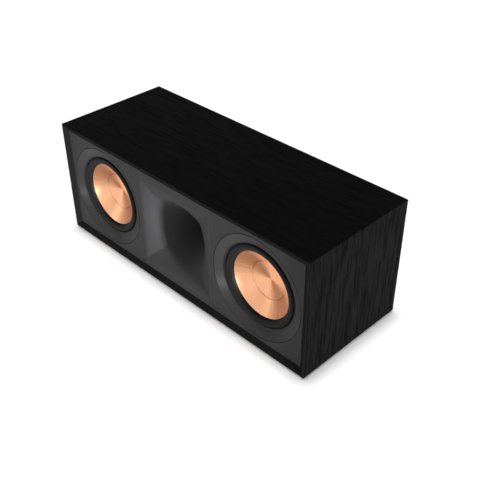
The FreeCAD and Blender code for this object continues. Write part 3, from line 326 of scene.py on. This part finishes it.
@kept
def metal(name, kind):
    """Steel, brass, zinc or aluminium parts, slightly uneven."""
    colour, roughness = {
        "black": ((0.02, 0.02, 0.022), 0.42),
        "zinc": ((0.55, 0.57, 0.58), 0.34),
        "gold": ((0.86, 0.62, 0.27), 0.22),
        "dome": ((0.62, 0.63, 0.65), 0.3),
        "coil": ((0.60, 0.30, 0.14), 0.38),
        "foil": ((0.62, 0.63, 0.65), 0.25),
    }[kind]
    finish = Finish(name, colour, roughness, 1.0 if kind != "black" else 0.6)
    cloud = finish.noise(90, 4)
    finish.colour_from(cloud, [c * 0.82 for c in colour], colour)
    finish.roughness_from(finish.noise(400, 3), roughness * 0.8, roughness * 1.3)
    return finish.bump(finish.noise(1500, 2), 0.01 * MM)


@kept
def ferrite(name):
    """Sintered magnet with ground faces."""
    finish = Finish(name, (0.03, 0.03, 0.032), 0.5, 0.3)
    finish.colour_from(finish.noise(70, 5), (0.018, 0.018, 0.02), (0.045, 0.045, 0.048))
    return finish.bump(finish.noise(600, 5), 0.06 * MM)


@kept
def fibre_board(name, kind):
    """Raw board, or the black coat of the rear board."""
    dark, light = {
        "raw": ((0.20, 0.125, 0.07), (0.33, 0.22, 0.13)),
        "rear": ((0.008, 0.008, 0.008), (0.014, 0.014, 0.014)),
    }[kind]
    finish = Finish(name, light, 0.7, Specular_IOR_Level=0.25)
    finish.colour_from(finish.noise(320, 6), dark, light)
    return finish.bump(finish.noise(900, 4), 0.05 * MM)


@kept
def coloured_plastic(name, kind):
    """Plain plastics: caps, back cover, component bodies and wire sleeves."""
    colour, roughness = {
        "red": ((0.55, 0.012, 0.010), 0.3),
        "black": ((0.010, 0.010, 0.011), 0.34),
        "film": ((0.52, 0.37, 0.06), 0.3),
        "ceramic": ((0.75, 0.73, 0.68), 0.6),
        "board": ((0.025, 0.16, 0.055), 0.38),
        "sleeve": ((0.16, 0.012, 0.012), 0.5),
    }[kind]
    finish = Finish(name, colour, roughness)
    finish.colour_from(finish.noise(120, 4), [c * 0.8 for c in colour], colour)
    finish.roughness_from(finish.noise(300, 3), roughness * 0.85, roughness * 1.25)
    return finish.bump(finish.noise(1700, 2), 0.012 * MM)


@kept
def woven(name, kind):
    """Spider cloth, tweeter suspension and wadding."""
    colour, cell = {
        "spider": ((0.52, 0.33, 0.10), 1400),
        "suspension": ((0.03, 0.03, 0.03), 1600),
        "wadding": ((0.72, 0.72, 0.70), 260),
    }[kind]
    finish = Finish(name, colour, 0.9, Sheen_Weight=0.3)
    threads = finish.noise(cell, 5)
    finish.colour_from(threads, [c * 0.7 for c in colour], colour)
    return finish.bump(threads, 0.15 * MM)


def wear(node, material):
    """Give a CAD node a finish through its own object's slot."""
    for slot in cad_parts[node].material_slots:
        slot.link = "OBJECT"
        slot.material = material


# Surfaces


def rounded(corners, steps=6):
    """A section from corners (radius, depth, rounding): each corner is the curve
    (1-t)^2 a + 2t(1-t) corner + t^2 b between points a and b that lie rounding away on its sides."""
    points = np.array([c[:2] for c in corners], float)
    reach = np.array([c[2] for c in corners], float)[:, None]
    before, after = np.roll(points, 1, 0) - points, np.roll(points, -1, 0) - points
    a = points + reach * before / np.linalg.norm(before, axis=1)[:, None]
    b = points + reach * after / np.linalg.norm(after, axis=1)[:, None]
    t = np.linspace(0, 1, steps)[None, :, None]
    curves = (1 - t) ** 2 * a[:, None] + 2 * t * (1 - t) * points[:, None] + t**2 * b[:, None]
    plain = reach[:, 0] == 0
    keep = np.ones((len(points), steps), bool)
    keep[plain, 1:] = False
    return curves[keep]


def turned(name, places, section, steps=160, upright=False):
    """A closed section of (radius, depth) turned round an axis: x + radius cos a, depth,
    z + radius sin a. Upright turns it round z instead. A ring of radius 0 is a single point.
    The chart runs from 0 to 1 along the section and from 0 to 1 round the axis."""
    section = np.asarray(section, float)
    angle = np.arange(steps) * TURN / steps
    across = section[:, :1] * np.cos(angle)
    aside = section[:, :1] * np.sin(angle)
    deep = np.repeat(section[:, 1:], steps, 1)
    rows = len(section)
    index = np.arange(rows * steps).reshape(rows, steps)
    on_axis = section[:, 0] < 1e-9
    index[on_axis] = index[on_axis][:, :1]
    first = np.arange(rows)
    second = (first + 1) % rows
    turn = (np.arange(steps) + 1) % steps
    quads = np.stack(
        [index[first], index[second], index[second][:, turn], index[first][:, turn]], -1
    ).reshape(-1, 4)
    share = np.concatenate([[0], np.cumsum(np.linalg.norm(np.diff(section, axis=0), axis=1))])
    share = share / share[-1]
    along = np.stack([share[first], share[second], share[second], share[first]], -1)
    around = np.stack([np.arange(steps)] * 2 + [np.arange(steps) + 1] * 2, -1) / steps
    chart = np.stack(
        np.broadcast_arrays(along[:, None, :], around[None, :, :]), -1
    ).reshape(-1, 4, 2)
    points, faces, charts = [], [], []
    for number, (x, z) in enumerate(places):
        if upright:
            at = np.stack([across + x, aside + z, deep], -1)
        else:
            at = np.stack([across + x, deep, aside + z], -1)
        points.append(at.reshape(-1, 3))
        faces.append(quads + number * rows * steps)
        charts.append(chart)
    return mesh_piece(name, np.concatenate(points), np.concatenate(faces), np.concatenate(charts))


def mesh_piece(name, points, quads, chart):
    """An object from points, four-cornered faces and a chart of their corners. A face with
    a doubled corner becomes a triangle, one with two is dropped, and so are unused points."""
    flat = (quads == np.roll(quads, -1, 1)).sum(1) > 1
    quads, chart = quads[~flat], chart[~flat]
    doubled = (quads == np.roll(quads, -1, 1)).any(1)
    single = quads[doubled]
    keep = single != np.roll(single, -1, 1)
    triangles = single[keep].reshape(-1, 3)
    corners = np.concatenate([quads[~doubled].ravel(), triangles.ravel()])
    chart = np.concatenate([chart[~doubled].reshape(-1, 2), chart[doubled][keep].reshape(-1, 2)])
    used, corners = np.unique(corners, return_inverse=True)
    count = len(quads) - doubled.sum()
    totals = np.concatenate([np.full(count, 4), np.full(len(triangles), 3)])
    mesh = bpy.data.meshes.new(name)
    mesh.vertices.add(len(used))
    mesh.vertices.foreach_set("co", points[used].astype(np.float32).ravel())
    mesh.loops.add(len(corners))
    mesh.loops.foreach_set("vertex_index", corners.astype(np.int32))
    mesh.polygons.add(len(totals))
    mesh.polygons.foreach_set("loop_start", (np.cumsum(totals) - totals).astype(np.int32))
    mesh.update(calc_edges=True)
    mesh.validate()
    mesh.uv_layers.new(name="turned").data.foreach_set("uv", chart.astype(np.float32).ravel())
    mesh.polygons.foreach_set("use_smooth", np.ones(len(totals), bool))
    piece = bpy.data.objects.new(name, mesh)
    bpy.context.scene.collection.objects.link(piece)
    outwards(piece)
    return piece


def outwards(piece):
    """Point a closed piece's faces outwards: its volume, the sum of p . (q x r) over its
    triangles, is negative when they point inwards."""
    mesh = piece.data
    mesh.calc_loop_triangles()
    corners = np.zeros(len(mesh.loop_triangles) * 3, np.int32)
    mesh.loop_triangles.foreach_get("vertices", corners)
    points = np.zeros(len(mesh.vertices) * 3, np.float32)
    mesh.vertices.foreach_get("co", points)
    p, q, r = (points.reshape(-1, 3)[corners.reshape(-1, 3)[:, n]] for n in range(3))
    if (p * np.cross(q, r)).sum() < 0:
        mesh.flip_normals()


def add_piece(piece, material, body, *nodes, slot):
    """Finish a piece: its material, its body and the CAD nodes that it stands for. A piece
    given no body gets none here."""
    piece.data.materials.append(material)
    if body:
        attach(piece, body)
    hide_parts(*nodes)


def soften(node, width):
    """Round a CAD node's true edges: merge its loose triangles and bevel what stands over 30 degrees."""
    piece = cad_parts[node]
    weld = piece.modifiers.new("joined", "WELD")
    weld.merge_threshold = 0.001 * MM
    bevel = piece.modifiers.new("rounded", "BEVEL")
    bevel.width = width
    bevel.segments = 2
    bevel.limit_method = "ANGLE"
    bevel.angle_limit = math.radians(30)


class PieceOperator(bpy.types.Operator):
    """Shared by the operators: undo works, and a missing node stops the script."""

    bl_options = {"REGISTER", "UNDO"}


# Cabinet


class SPEAKER_OT_cabinet(PieceOperator):
    """Wrap the four boards in black ash-grain vinyl"""

    bl_idname = "speaker.cabinet"
    bl_label = "Cabinet boards"

    def execute(self, context):
        for node, run in (
            ("cabinet_top", "along"),
            ("cabinet_bottom", "along"),
            ("cabinet_left_side", "upright"),
            ("cabinet_right_side", "upright"),
        ):
            soften(node, sizes().edge_rounding)
            wear(node, ash_vinyl(run))
        return {"FINISHED"}


class SPEAKER_OT_baffles(PieceOperator):
    """Coat the front and rear boards and the braces"""

    bl_idname = "speaker.baffles"
    bl_label = "Baffles and braces"

    def execute(self, context):
        wear("front_baffle", satin_paint())
        wear("rear_panel", fibre_board("rear"))
        for side in SIDES:
            wear(f"{side}_brace", fibre_board("raw"))
        return {"FINISHED"}


class SPEAKER_OT_feet(PieceOperator):
    """Turn the four rubber feet with a rounded tread and a dimple"""

    bl_idname = "speaker.feet"
    bl_label = "Rubber feet"

    def execute(self, context):
        low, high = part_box("rubber_feet")
        radius = 9 * MM
        places = [
            (x, y)
            for x in (low.x + radius, high.x - radius)
            for y in (low.y + radius, high.y - radius)
        ]
        section = rounded(
            [
                (radius, high.z, 0.1 * MM),
                (radius * 0.95, low.z, 0.8 * MM),
                (radius * 0.42, low.z, 0.3 * MM),
                (radius * 0.30, low.z + 0.8 * MM, 0.3 * MM),
            ]
        )
        section = np.concatenate([section, [[0, low.z + 0.8 * MM], [0, high.z]]])
        feet = turned("foot_pads", places, section, 72, upright=True)
        add_piece(feet, black_rubber(), "cabinet", "rubber_feet", slot="black_rubber")
        return {"FINISHED"}


# Woofers


class SPEAKER_OT_trim_rings(PieceOperator):
    """Turn the two dished trim rings with softened rims"""

    bl_idname = "speaker.trim_rings"
    bl_label = "Trim rings"

    def execute(self, context):
        for side in SIDES:
            node = f"{side}_trim_ring"
            (low, high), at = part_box(node), middle(node)
            outer = half_across(node)
            front, back = low.y, high.y
            inner, dish, edge, skirt = outer - 15.2 * MM, 6.7 * MM, 0.9 * MM, 3 * MM
            seam = 0.6 * MM
            section = rounded(
                [
                    (outer - seam, front, 0.3 * MM),
                    (outer - seam, front + 2 * seam, 0.1 * MM),
                    (outer, front + 2.2 * seam, 0.1 * MM),
                    (outer, back, 0.1 * MM),
                    (outer - skirt, back, 0.1 * MM),
                    (outer - skirt, front + skirt, 0.1 * MM),
                    (inner, front + dish + edge, 0.3 * MM),
                    (inner, front + dish, 0.4 * MM),
                ]
            )
            ring = turned(f"{side}_ring", [(at.x, at.z)], section, 240)
            add_piece(ring, moulded_plastic("ring"), "cabinet", node, slot="ring_plastic")
        return {"FINISHED"}


class SPEAKER_OT_surrounds(PieceOperator):
    """Sweep the rubber half rolls, from the cone's edge inside to the basket outside"""

    bl_idname = "speaker.surrounds"
    bl_label = "Surrounds"

    def execute(self, context):
        for side in SIDES:
            node = f"{side}_surround"
            (low, high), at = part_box(node), middle(node)
            lip = half_across(node)
            foot, shoulder = lip - 14.9 * MM, lip - 4.6 * MM
            foot_y, lip_y, lip_back = high.y - 1.2 * MM, high.y - 3.4 * MM, high.y - 2.6 * MM
            front, back = self.half_roll(foot, shoulder, foot_y, lip_y, low.y)
            flat = [(shoulder + 0.6 * MM, lip_y), (lip, lip_y), (lip, lip_back), (shoulder, lip_back)]
            roll = turned(f"{side}_half_roll", [(at.x, at.z)], np.concatenate([front, flat, back]), 200)
            add_piece(roll, black_rubber(), None, node, slot="black_rubber")
            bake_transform(roll)
            self.stretch(roll, at, foot, shoulder)
        return {"FINISHED"}

    @staticmethod
    def half_roll(foot, shoulder, foot_y, lip_y, crest_y):
        """The roll's two faces: in front the points centre + half cos t, base - height sin t for
        t from pi to 0, where base climbs from the cone's edge to the lip as (1 + cos t) / 2, and
        behind the same curve a wall further in, back to the cone's edge."""
        thick = 0.8 * MM
        centre, half = (foot + shoulder) / 2, (shoulder - foot) / 2
        t = np.linspace(math.pi, 0, 25)
        base = foot_y + (lip_y - foot_y) * (1 + np.cos(t)) / 2
        rise = (base.mean() - crest_y) * np.sin(t)
        front = np.stack([centre + half * np.cos(t), base - rise], 1)
        back = np.stack([centre + (half - thick) * np.cos(t), base + thick - rise], 1)[::-1]
        return front, np.concatenate([back, [[foot, foot_y + thick]]])

    @staticmethod
    def stretch(roll, at, foot, shoulder):
        """Reads the roll's points, and nothing more."""
        points = np.zeros(len(roll.data.vertices) * 3, np.float32)
        roll.data.vertices.foreach_get("co", points)


class SPEAKER_OT_cones(PieceOperator):
    """Spin the two copper cones and their dust caps"""

    bl_idname = "speaker.cones"
    bl_label = "Woofer cones"

    def execute(self, context):
        for side in SIDES:
            node = f"{side}_cone"
            (low, high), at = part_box(node), middle(node)
            edge, neck, thick = half_across(node), 16.3 * MM, 1.2 * MM
            section = rounded(
                [
                    (edge, low.y, 0.3 * MM),
                    (edge, low.y + thick, 0.2 * MM),
                    (neck, high.y, 0.1 * MM),
                    (neck, high.y - thick, 0.1 * MM),
                ]
            )
            cone = turned(f"{side}_funnel", [(at.x, at.z)], section, 240)
            add_piece(cone, spun_copper(), f"{side}_diaphragm", node, slot="copper_cone")
            cap_node = f"{side}_dust_cap"
            (low, high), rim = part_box(cap_node), half_across(cap_node)
            section = self.dish(rim, low.y, high.y)
            cap = turned(f"{side}_cap_dish", [(at.x, at.z)], section, 200)
            add_piece(cap, spun_copper(), f"{side}_diaphragm", cap_node, slot="copper_cone")
        return {"FINISHED"}

    @staticmethod
    def dish(rim, front, back):
        """The dust cap's section: its depth falls from the apex to the lip as r^1.08, and a
        fine groove parts the lip from the glued rim."""
        wall = 0.9 * MM
        lip, groove, apex = rim - 1.4 * MM, rim - 0.95 * MM, back - wall
        r = np.linspace(0, 1, 16)[1:-1]
        inside = np.stack([lip * r, apex + (front + 0.35 * MM - apex) * r**1.08], 1)
        edge = rounded(
            [
                (lip, front + 0.4 * MM, 0.05 * MM),
                (groove, front + 0.8 * MM, 0.02 * MM),
                (rim - 0.3 * MM, front, 0.15 * MM),
                (rim, front + 0.2 * MM, 0.1 * MM),
                (rim - wall, front + wall, 0.1 * MM),
            ]
        )
        return np.concatenate([[[0, apex]], inside, edge, [[0, back]]])


class SPEAKER_OT_motors(PieceOperator):
    """Finish the baskets, spiders, coils and magnets"""

    bl_idname = "speaker.motors"
    bl_label = "Baskets and motors"

    def execute(self, context):
        for side in SIDES:
            wear(f"{side}_basket", metal("black"))
            wear(f"{side}_spider", woven("spider"))
            wear(f"{side}_voice_coil", metal("coil"))
            wear(f"{side}_front_plate", metal("zinc"))
            wear(f"{side}_magnet", ferrite())
            wear(f"{side}_yoke", metal("zinc"))
        wear("woofer_screws", metal("black"))
        return {"FINISHED"}


# Horn and tweeter


class SPEAKER_OT_horn(PieceOperator):
    """Finish the horn and the tweeter behind it"""

    bl_idname = "speaker.horn"
    bl_label = "Horn and tweeter"

    def execute(self, context):
        wear("horn", moulded_plastic("horn"))
        wear("horn_screws", metal("black"))
        wear("tweeter_phase_plug", coloured_plastic("black"))
        wear("tweeter_dome", metal("dome"))
        wear("tweeter_suspension", woven("suspension"))
        wear("tweeter_voice_coil", metal("coil"))
        wear("tweeter_front_plate", metal("zinc"))
        wear("tweeter_magnet", ferrite())
        wear("tweeter_yoke", metal("zinc"))
        wear("tweeter_back_cover", coloured_plastic("black"))
        wear("tweeter_screws", metal("black"))
        return {"FINISHED"}


# Back


class SPEAKER_OT_port(PieceOperator):
    """Turn the port tube: its mouth is the curve bore + flare (1 - cos a), back - flare (1 - sin a)"""

    bl_idname = "speaker.port"
    bl_label = "Port tube"

    def execute(self, context):
        node = "port_tube"
        (low, high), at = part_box(node), middle(node)
        flange = half_across(node)
        bore, flare, wall = 24 * MM, 10 * MM, 2.5 * MM
        bend = np.linspace(0, math.pi / 2, 14)
        throat = np.stack(
            [bore + flare * (1 - np.cos(bend)), high.y - flare * (1 - np.sin(bend))], 1
        )
        outside = rounded(
            [
                (flange, high.y, 0.3 * MM),
                (flange, high.y - 3 * MM, 0.1 * MM),
                (bore + flare - 3 * MM, high.y - 3 * MM, 0),
                (bore + wall, high.y - flare - wall, 0.5 * MM),
                (bore + wall, low.y, 0.6 * MM),
                (bore, low.y, 0.6 * MM),
            ]
        )
        tube = turned("flared_port", [(at.x, at.z)], np.concatenate([throat, outside]), 160)
        add_piece(tube, moulded_plastic("ring"), "cabinet", node, slot="black_plastic")
        return {"FINISHED"}


class SPEAKER_OT_terminals(PieceOperator):
    """Finish the terminal cup, the binding posts and their screws"""

    bl_idname = "speaker.terminals"
    bl_label = "Terminals"

    def execute(self, context):
        wear("terminal_cup", coloured_plastic("black"))
        wear("panel_screws", metal("black"))
        for colour in ("red", "black"):
            wear(f"{colour}_post_stem", metal("gold"))
            wear(f"{colour}_clamp_washer", metal("gold"))
            wear(f"{colour}_cap_insert", metal("gold"))
            wear(f"{colour}_post_cap", coloured_plastic(colour))
        wear("post_nuts", metal("gold"))
        return {"FINISHED"}


# Inside


class SPEAKER_OT_crossover(PieceOperator):
    """Finish the crossover board, its components and the internal wires"""

    bl_idname = "speaker.crossover"
    bl_label = "Crossover and wires"

    def execute(self, context):
        wear("crossover_board", coloured_plastic("board"))
        wear("woofer_inductor", metal("coil"))
        wear("tweeter_inductor", metal("coil"))
        wear("crossover_capacitors", coloured_plastic("film"))
        wear("crossover_resistor", coloured_plastic("ceramic"))
        wear("signal_wires", coloured_plastic("sleeve"))
        return {"FINISHED"}


class SPEAKER_OT_wadding(PieceOperator):
    """Fluff up the two damping pads: each is ((1 - |x|^5)(1 - |y|^5))^0.4 thick, with tufts"""

    bl_idname = "speaker.wadding"
    bl_label = "Damping wadding"

    def execute(self, context):
        low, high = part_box("damping_wadding")
        span, depth, tall = 96 * MM, high.y - low.y, high.z - low.z
        u = np.linspace(-1, 1, 49)
        x, y = np.meshgrid(u, u, indexing="ij")
        crown = np.clip((1 - np.abs(x) ** 5) * (1 - np.abs(y) ** 5), 0, 1) ** 0.4
        tufts = 0.03 * np.sin(9 * x + 2) * np.sin(8 * y) + 0.02 * np.sin(17 * x) * np.sin(19 * y)
        under = high.z - tall * (0.15 + 0.8 * crown * (1 + tufts))
        index = np.arange(x.size).reshape(x.shape)
        corners = (index[:-1, :-1], index[1:, :-1], index[1:, 1:], index[:-1, 1:])
        sheet = np.stack(corners, -1).reshape(-1, 4)
        rim = np.concatenate([index[:-1, 0], index[-1, :-1], index[:0:-1, -1], index[0, :0:-1]])
        ahead = np.roll(rim, -1)
        hem = np.stack([rim, ahead, ahead + x.size, rim + x.size], -1)
        faces = np.concatenate([sheet[:, ::-1], sheet + x.size, hem])
        chart = np.tile(np.stack([x, y], -1).reshape(-1, 2) / 2 + 0.5, (2, 1))[faces]
        for side, centre in (("left", low.x + span / 2), ("right", high.x - span / 2)):
            across, along = centre + x * span / 2, (low.y + high.y) / 2 + y * depth / 2
            points = np.concatenate(
                [
                    np.stack([across, along, z], -1).reshape(-1, 3)
                    for z in (under, np.full_like(under, high.z))
                ]
            )
            pad = mesh_piece(f"{side}_pad", points, faces, chart)
            nodes = ("damping_wadding",) if side == "left" else ()
            add_piece(pad, woven("wadding"), "cabinet", *nodes, slot="white_wadding")
        return {"FINISHED"}


# Stage


def camera_matrix():
    """The camera's place, solved from the cabinet's corners in the photograph: it stands 45.54
    degrees round and 35.42 up, and is turned by -0.45 degrees about its own axis."""
    place = (0.6548, -0.60775, 0.6799)
    azimuth, elevation, roll = (math.radians(angle) for angle in (45.54, 35.42, -0.45))
    level = math.cos(elevation)
    back = Vector((math.sin(azimuth) * level, -math.cos(azimuth) * level, math.sin(elevation)))
    aside = Vector((0, 0, 1)).cross(back).normalized()
    above = back.cross(aside)
    right = math.cos(roll) * aside + math.sin(roll) * above
    upper = -math.sin(roll) * aside + math.cos(roll) * above
    matrix = Matrix((right, upper, back)).transposed().to_4x4()
    matrix.translation = Vector(place)
    return matrix


def studio_camera(scene):
    """The camera, on a sensor 36 mm wide."""
    lens = bpy.data.cameras.new("studio_camera")
    lens.lens = sizes().camera_lens
    lens.sensor_width = 36
    lens.clip_start, lens.clip_end = 0.01, 100
    camera = bpy.data.objects.new("studio_camera", lens)
    scene.collection.objects.link(camera)
    camera.matrix_world = camera_matrix()
    scene.camera = camera


# Each lamp's name, place, aim, size and power in watts
LAMPS = (
    ("key_lamp", (5.6, -0.72, 0.22), (0, 0, 0.1), (0.45, 0.4), 1000),
    ("top_lamp", (-0.25, 0.25, 12.0), (0, 0, 0), (2.2, 2.2), 1220),
    ("front_card", (0.1, -2.7, 1.0), (0, 0, 0.1), (4.4, 2.0), 19),
    ("left_card", (-1.15, -1.2, 0.7), (-0.1, 0, 0.1), (0.7, 0.7), 3.6),
)


def soft_box(name, place, aim, size, power):
    """A rectangular studio lamp aimed at a point."""
    lamp = bpy.data.lights.new(name, "AREA")
    lamp.shape = "RECTANGLE"
    lamp.size, lamp.size_y = size
    lamp.energy = power
    holder = bpy.data.objects.new(name, lamp)
    bpy.context.scene.collection.objects.link(holder)
    away = Vector(place) - Vector(aim)
    holder.matrix_world = Matrix.Translation(place) @ away.to_track_quat("Z", "Y").to_matrix().to_4x4()


def seen(tree):
    """1 for rays from the camera, from gloss and through glass, and 0 for rays that light things."""
    rays = tree.nodes.new("ShaderNodeLightPath").outputs
    shown = rays["Is Camera Ray"]
    for other in ("Is Glossy Ray", "Is Transmission Ray"):
        larger = tree.nodes.new("ShaderNodeMath")
        larger.operation = "MAXIMUM"
        tree.links.new(shown, larger.inputs[0])
        tree.links.new(rays[other], larger.inputs[1])
        shown = larger.outputs[0]
    return shown


def pale_floor():
    """The studio floor: diffuse, and brightened where it is seen by a glow that grows with the
    distance from the speaker, so that the floor runs into the white wall."""
    near, far, near_glow, far_glow = 1.2, 6, 0.1, 0.7
    material = bpy.data.materials.new("pale_floor")
    material.use_nodes = True
    tree = material.node_tree
    tree.nodes.clear()
    output = tree.nodes.new("ShaderNodeOutputMaterial")
    diffuse = tree.nodes.new("ShaderNodeBsdfDiffuse")
    diffuse.inputs["Color"].default_value = (*colours().floor, 1)
    place = tree.nodes.new("ShaderNodeTexCoord")
    distance = tree.nodes.new("ShaderNodeVectorMath")
    distance.operation = "LENGTH"
    tree.links.new(place.outputs["Object"], distance.inputs[0])
    glare = tree.nodes.new("ShaderNodeMapRange")
    Finish.set(glare, {"From Min": near, "From Max": far, "To Min": near_glow, "To Max": far_glow})
    tree.links.new(distance.outputs["Value"], glare.inputs["Value"])
    level = tree.nodes.new("ShaderNodeMath")
    level.operation = "MULTIPLY"
    tree.links.new(seen(tree), level.inputs[0])
    tree.links.new(glare.outputs["Result"], level.inputs[1])
    glow = tree.nodes.new("ShaderNodeEmission")
    tree.links.new(level.outputs[0], glow.inputs["Strength"])
    lit = tree.nodes.new("ShaderNodeAddShader")
    tree.links.new(diffuse.outputs[0], lit.inputs[0])
    tree.links.new(glow.outputs[0], lit.inputs[1])
    tree.links.new(lit.outputs[0], output.inputs["Surface"])
    return material


def studio_floor(scene):
    """A level square that reaches 8 m from the speaker to each side."""
    reach = 8
    corners = [(-reach, -reach, 0), (reach, -reach, 0), (reach, reach, 0), (-reach, reach, 0)]
    mesh = bpy.data.meshes.new("studio_floor")
    mesh.from_pydata(corners, [], [(0, 1, 2, 3)])
    mesh.materials.append(pale_floor())
    floor = bpy.data.objects.new("studio_floor", mesh)
    scene.collection.objects.link(floor)


def studio_air(scene):
    """A white studio wall that darkens upwards, by the height of the direction looked in. The
    light that it casts on things is far dimmer than the wall looks."""
    cast, looks = ((0, 0.6), (0.32, 0.03)), ((0.24, 1), (0.6, 0.1))
    world = bpy.data.worlds.new("studio_air")
    world.use_nodes = True
    scene.world = world
    tree = world.node_tree
    place = tree.nodes.new("ShaderNodeTexCoord")
    split = tree.nodes.new("ShaderNodeSeparateXYZ")
    tree.links.new(place.outputs["Generated"], split.inputs[0])
    pick = tree.nodes.new("ShaderNodeMix")
    pick.data_type = "RGBA"
    tree.links.new(seen(tree), pick.inputs["Factor"])
    for socket, stops in ((6, cast), (7, looks)):
        ramp = tree.nodes.new("ShaderNodeValToRGB")
        for stop, (height, level) in zip(ramp.color_ramp.elements, stops):
            stop.position, stop.color = height, (level, level, level, 1)
        tree.links.new(split.outputs["Z"], ramp.inputs[0])
        tree.links.new(ramp.outputs[0], pick.inputs[socket])
    tree.links.new(pick.outputs[2], tree.nodes["Background"].inputs["Color"])


class SPEAKER_OT_stage(PieceOperator):
    """Set up the floor, the soft light and the camera"""

    bl_idname = "speaker.stage"
    bl_label = "Stage, light and camera"

    def execute(self, context):
        scene = context.scene
        studio_camera(scene)
        studio_floor(scene)
        for lamp in LAMPS:
            soft_box(*lamp)
        studio_air(scene)
        scene.view_settings.view_transform = "Standard"
        return {"FINISHED"}


# Panel and run


STEPS = (
    SPEAKER_OT_cabinet,
    SPEAKER_OT_baffles,
    SPEAKER_OT_feet,
    SPEAKER_OT_trim_rings,
    SPEAKER_OT_surrounds,
    SPEAKER_OT_cones,
    SPEAKER_OT_motors,
    SPEAKER_OT_horn,
    SPEAKER_OT_port,
    SPEAKER_OT_terminals,
    SPEAKER_OT_crossover,
    SPEAKER_OT_wadding,
    SPEAKER_OT_stage,
)


class SPEAKER_PT_pieces(bpy.types.Panel):
    """Sizes, colours and one button for each group of pieces"""

    bl_label = "Center channel speaker"
    bl_idname = "SPEAKER_PT_pieces"
    bl_space_type = "VIEW_3D"
    bl_region_type = "UI"
    bl_category = "Speaker"

    def draw(self, context):
        for group in (context.scene.speaker_sizes, context.scene.speaker_colours):
            box = self.layout.box()
            for name in group.__annotations__:
                box.prop(group, name)
        for step in STEPS:
            self.layout.operator(step.bl_idname)


CLASSES = (SpeakerSizes, SpeakerColours, *STEPS, SPEAKER_PT_pieces)


def register():
    for cls in CLASSES:
        bpy.utils.register_class(cls)
    bpy.types.Scene.speaker_sizes = bpy.props.PointerProperty(type=SpeakerSizes)
    bpy.types.Scene.speaker_colours = bpy.props.PointerProperty(type=SpeakerColours)


def unregister():
    del bpy.types.Scene.speaker_colours
    del bpy.types.Scene.speaker_sizes
    for cls in reversed(CLASSES):
        bpy.utils.unregister_class(cls)


def main():
    """Register the add-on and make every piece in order."""
    register()
    for step in STEPS:
        group, action = step.bl_idname.split(".")
        getattr(getattr(bpy.ops, group), action)()


if __name__ == "__main__":
    main()
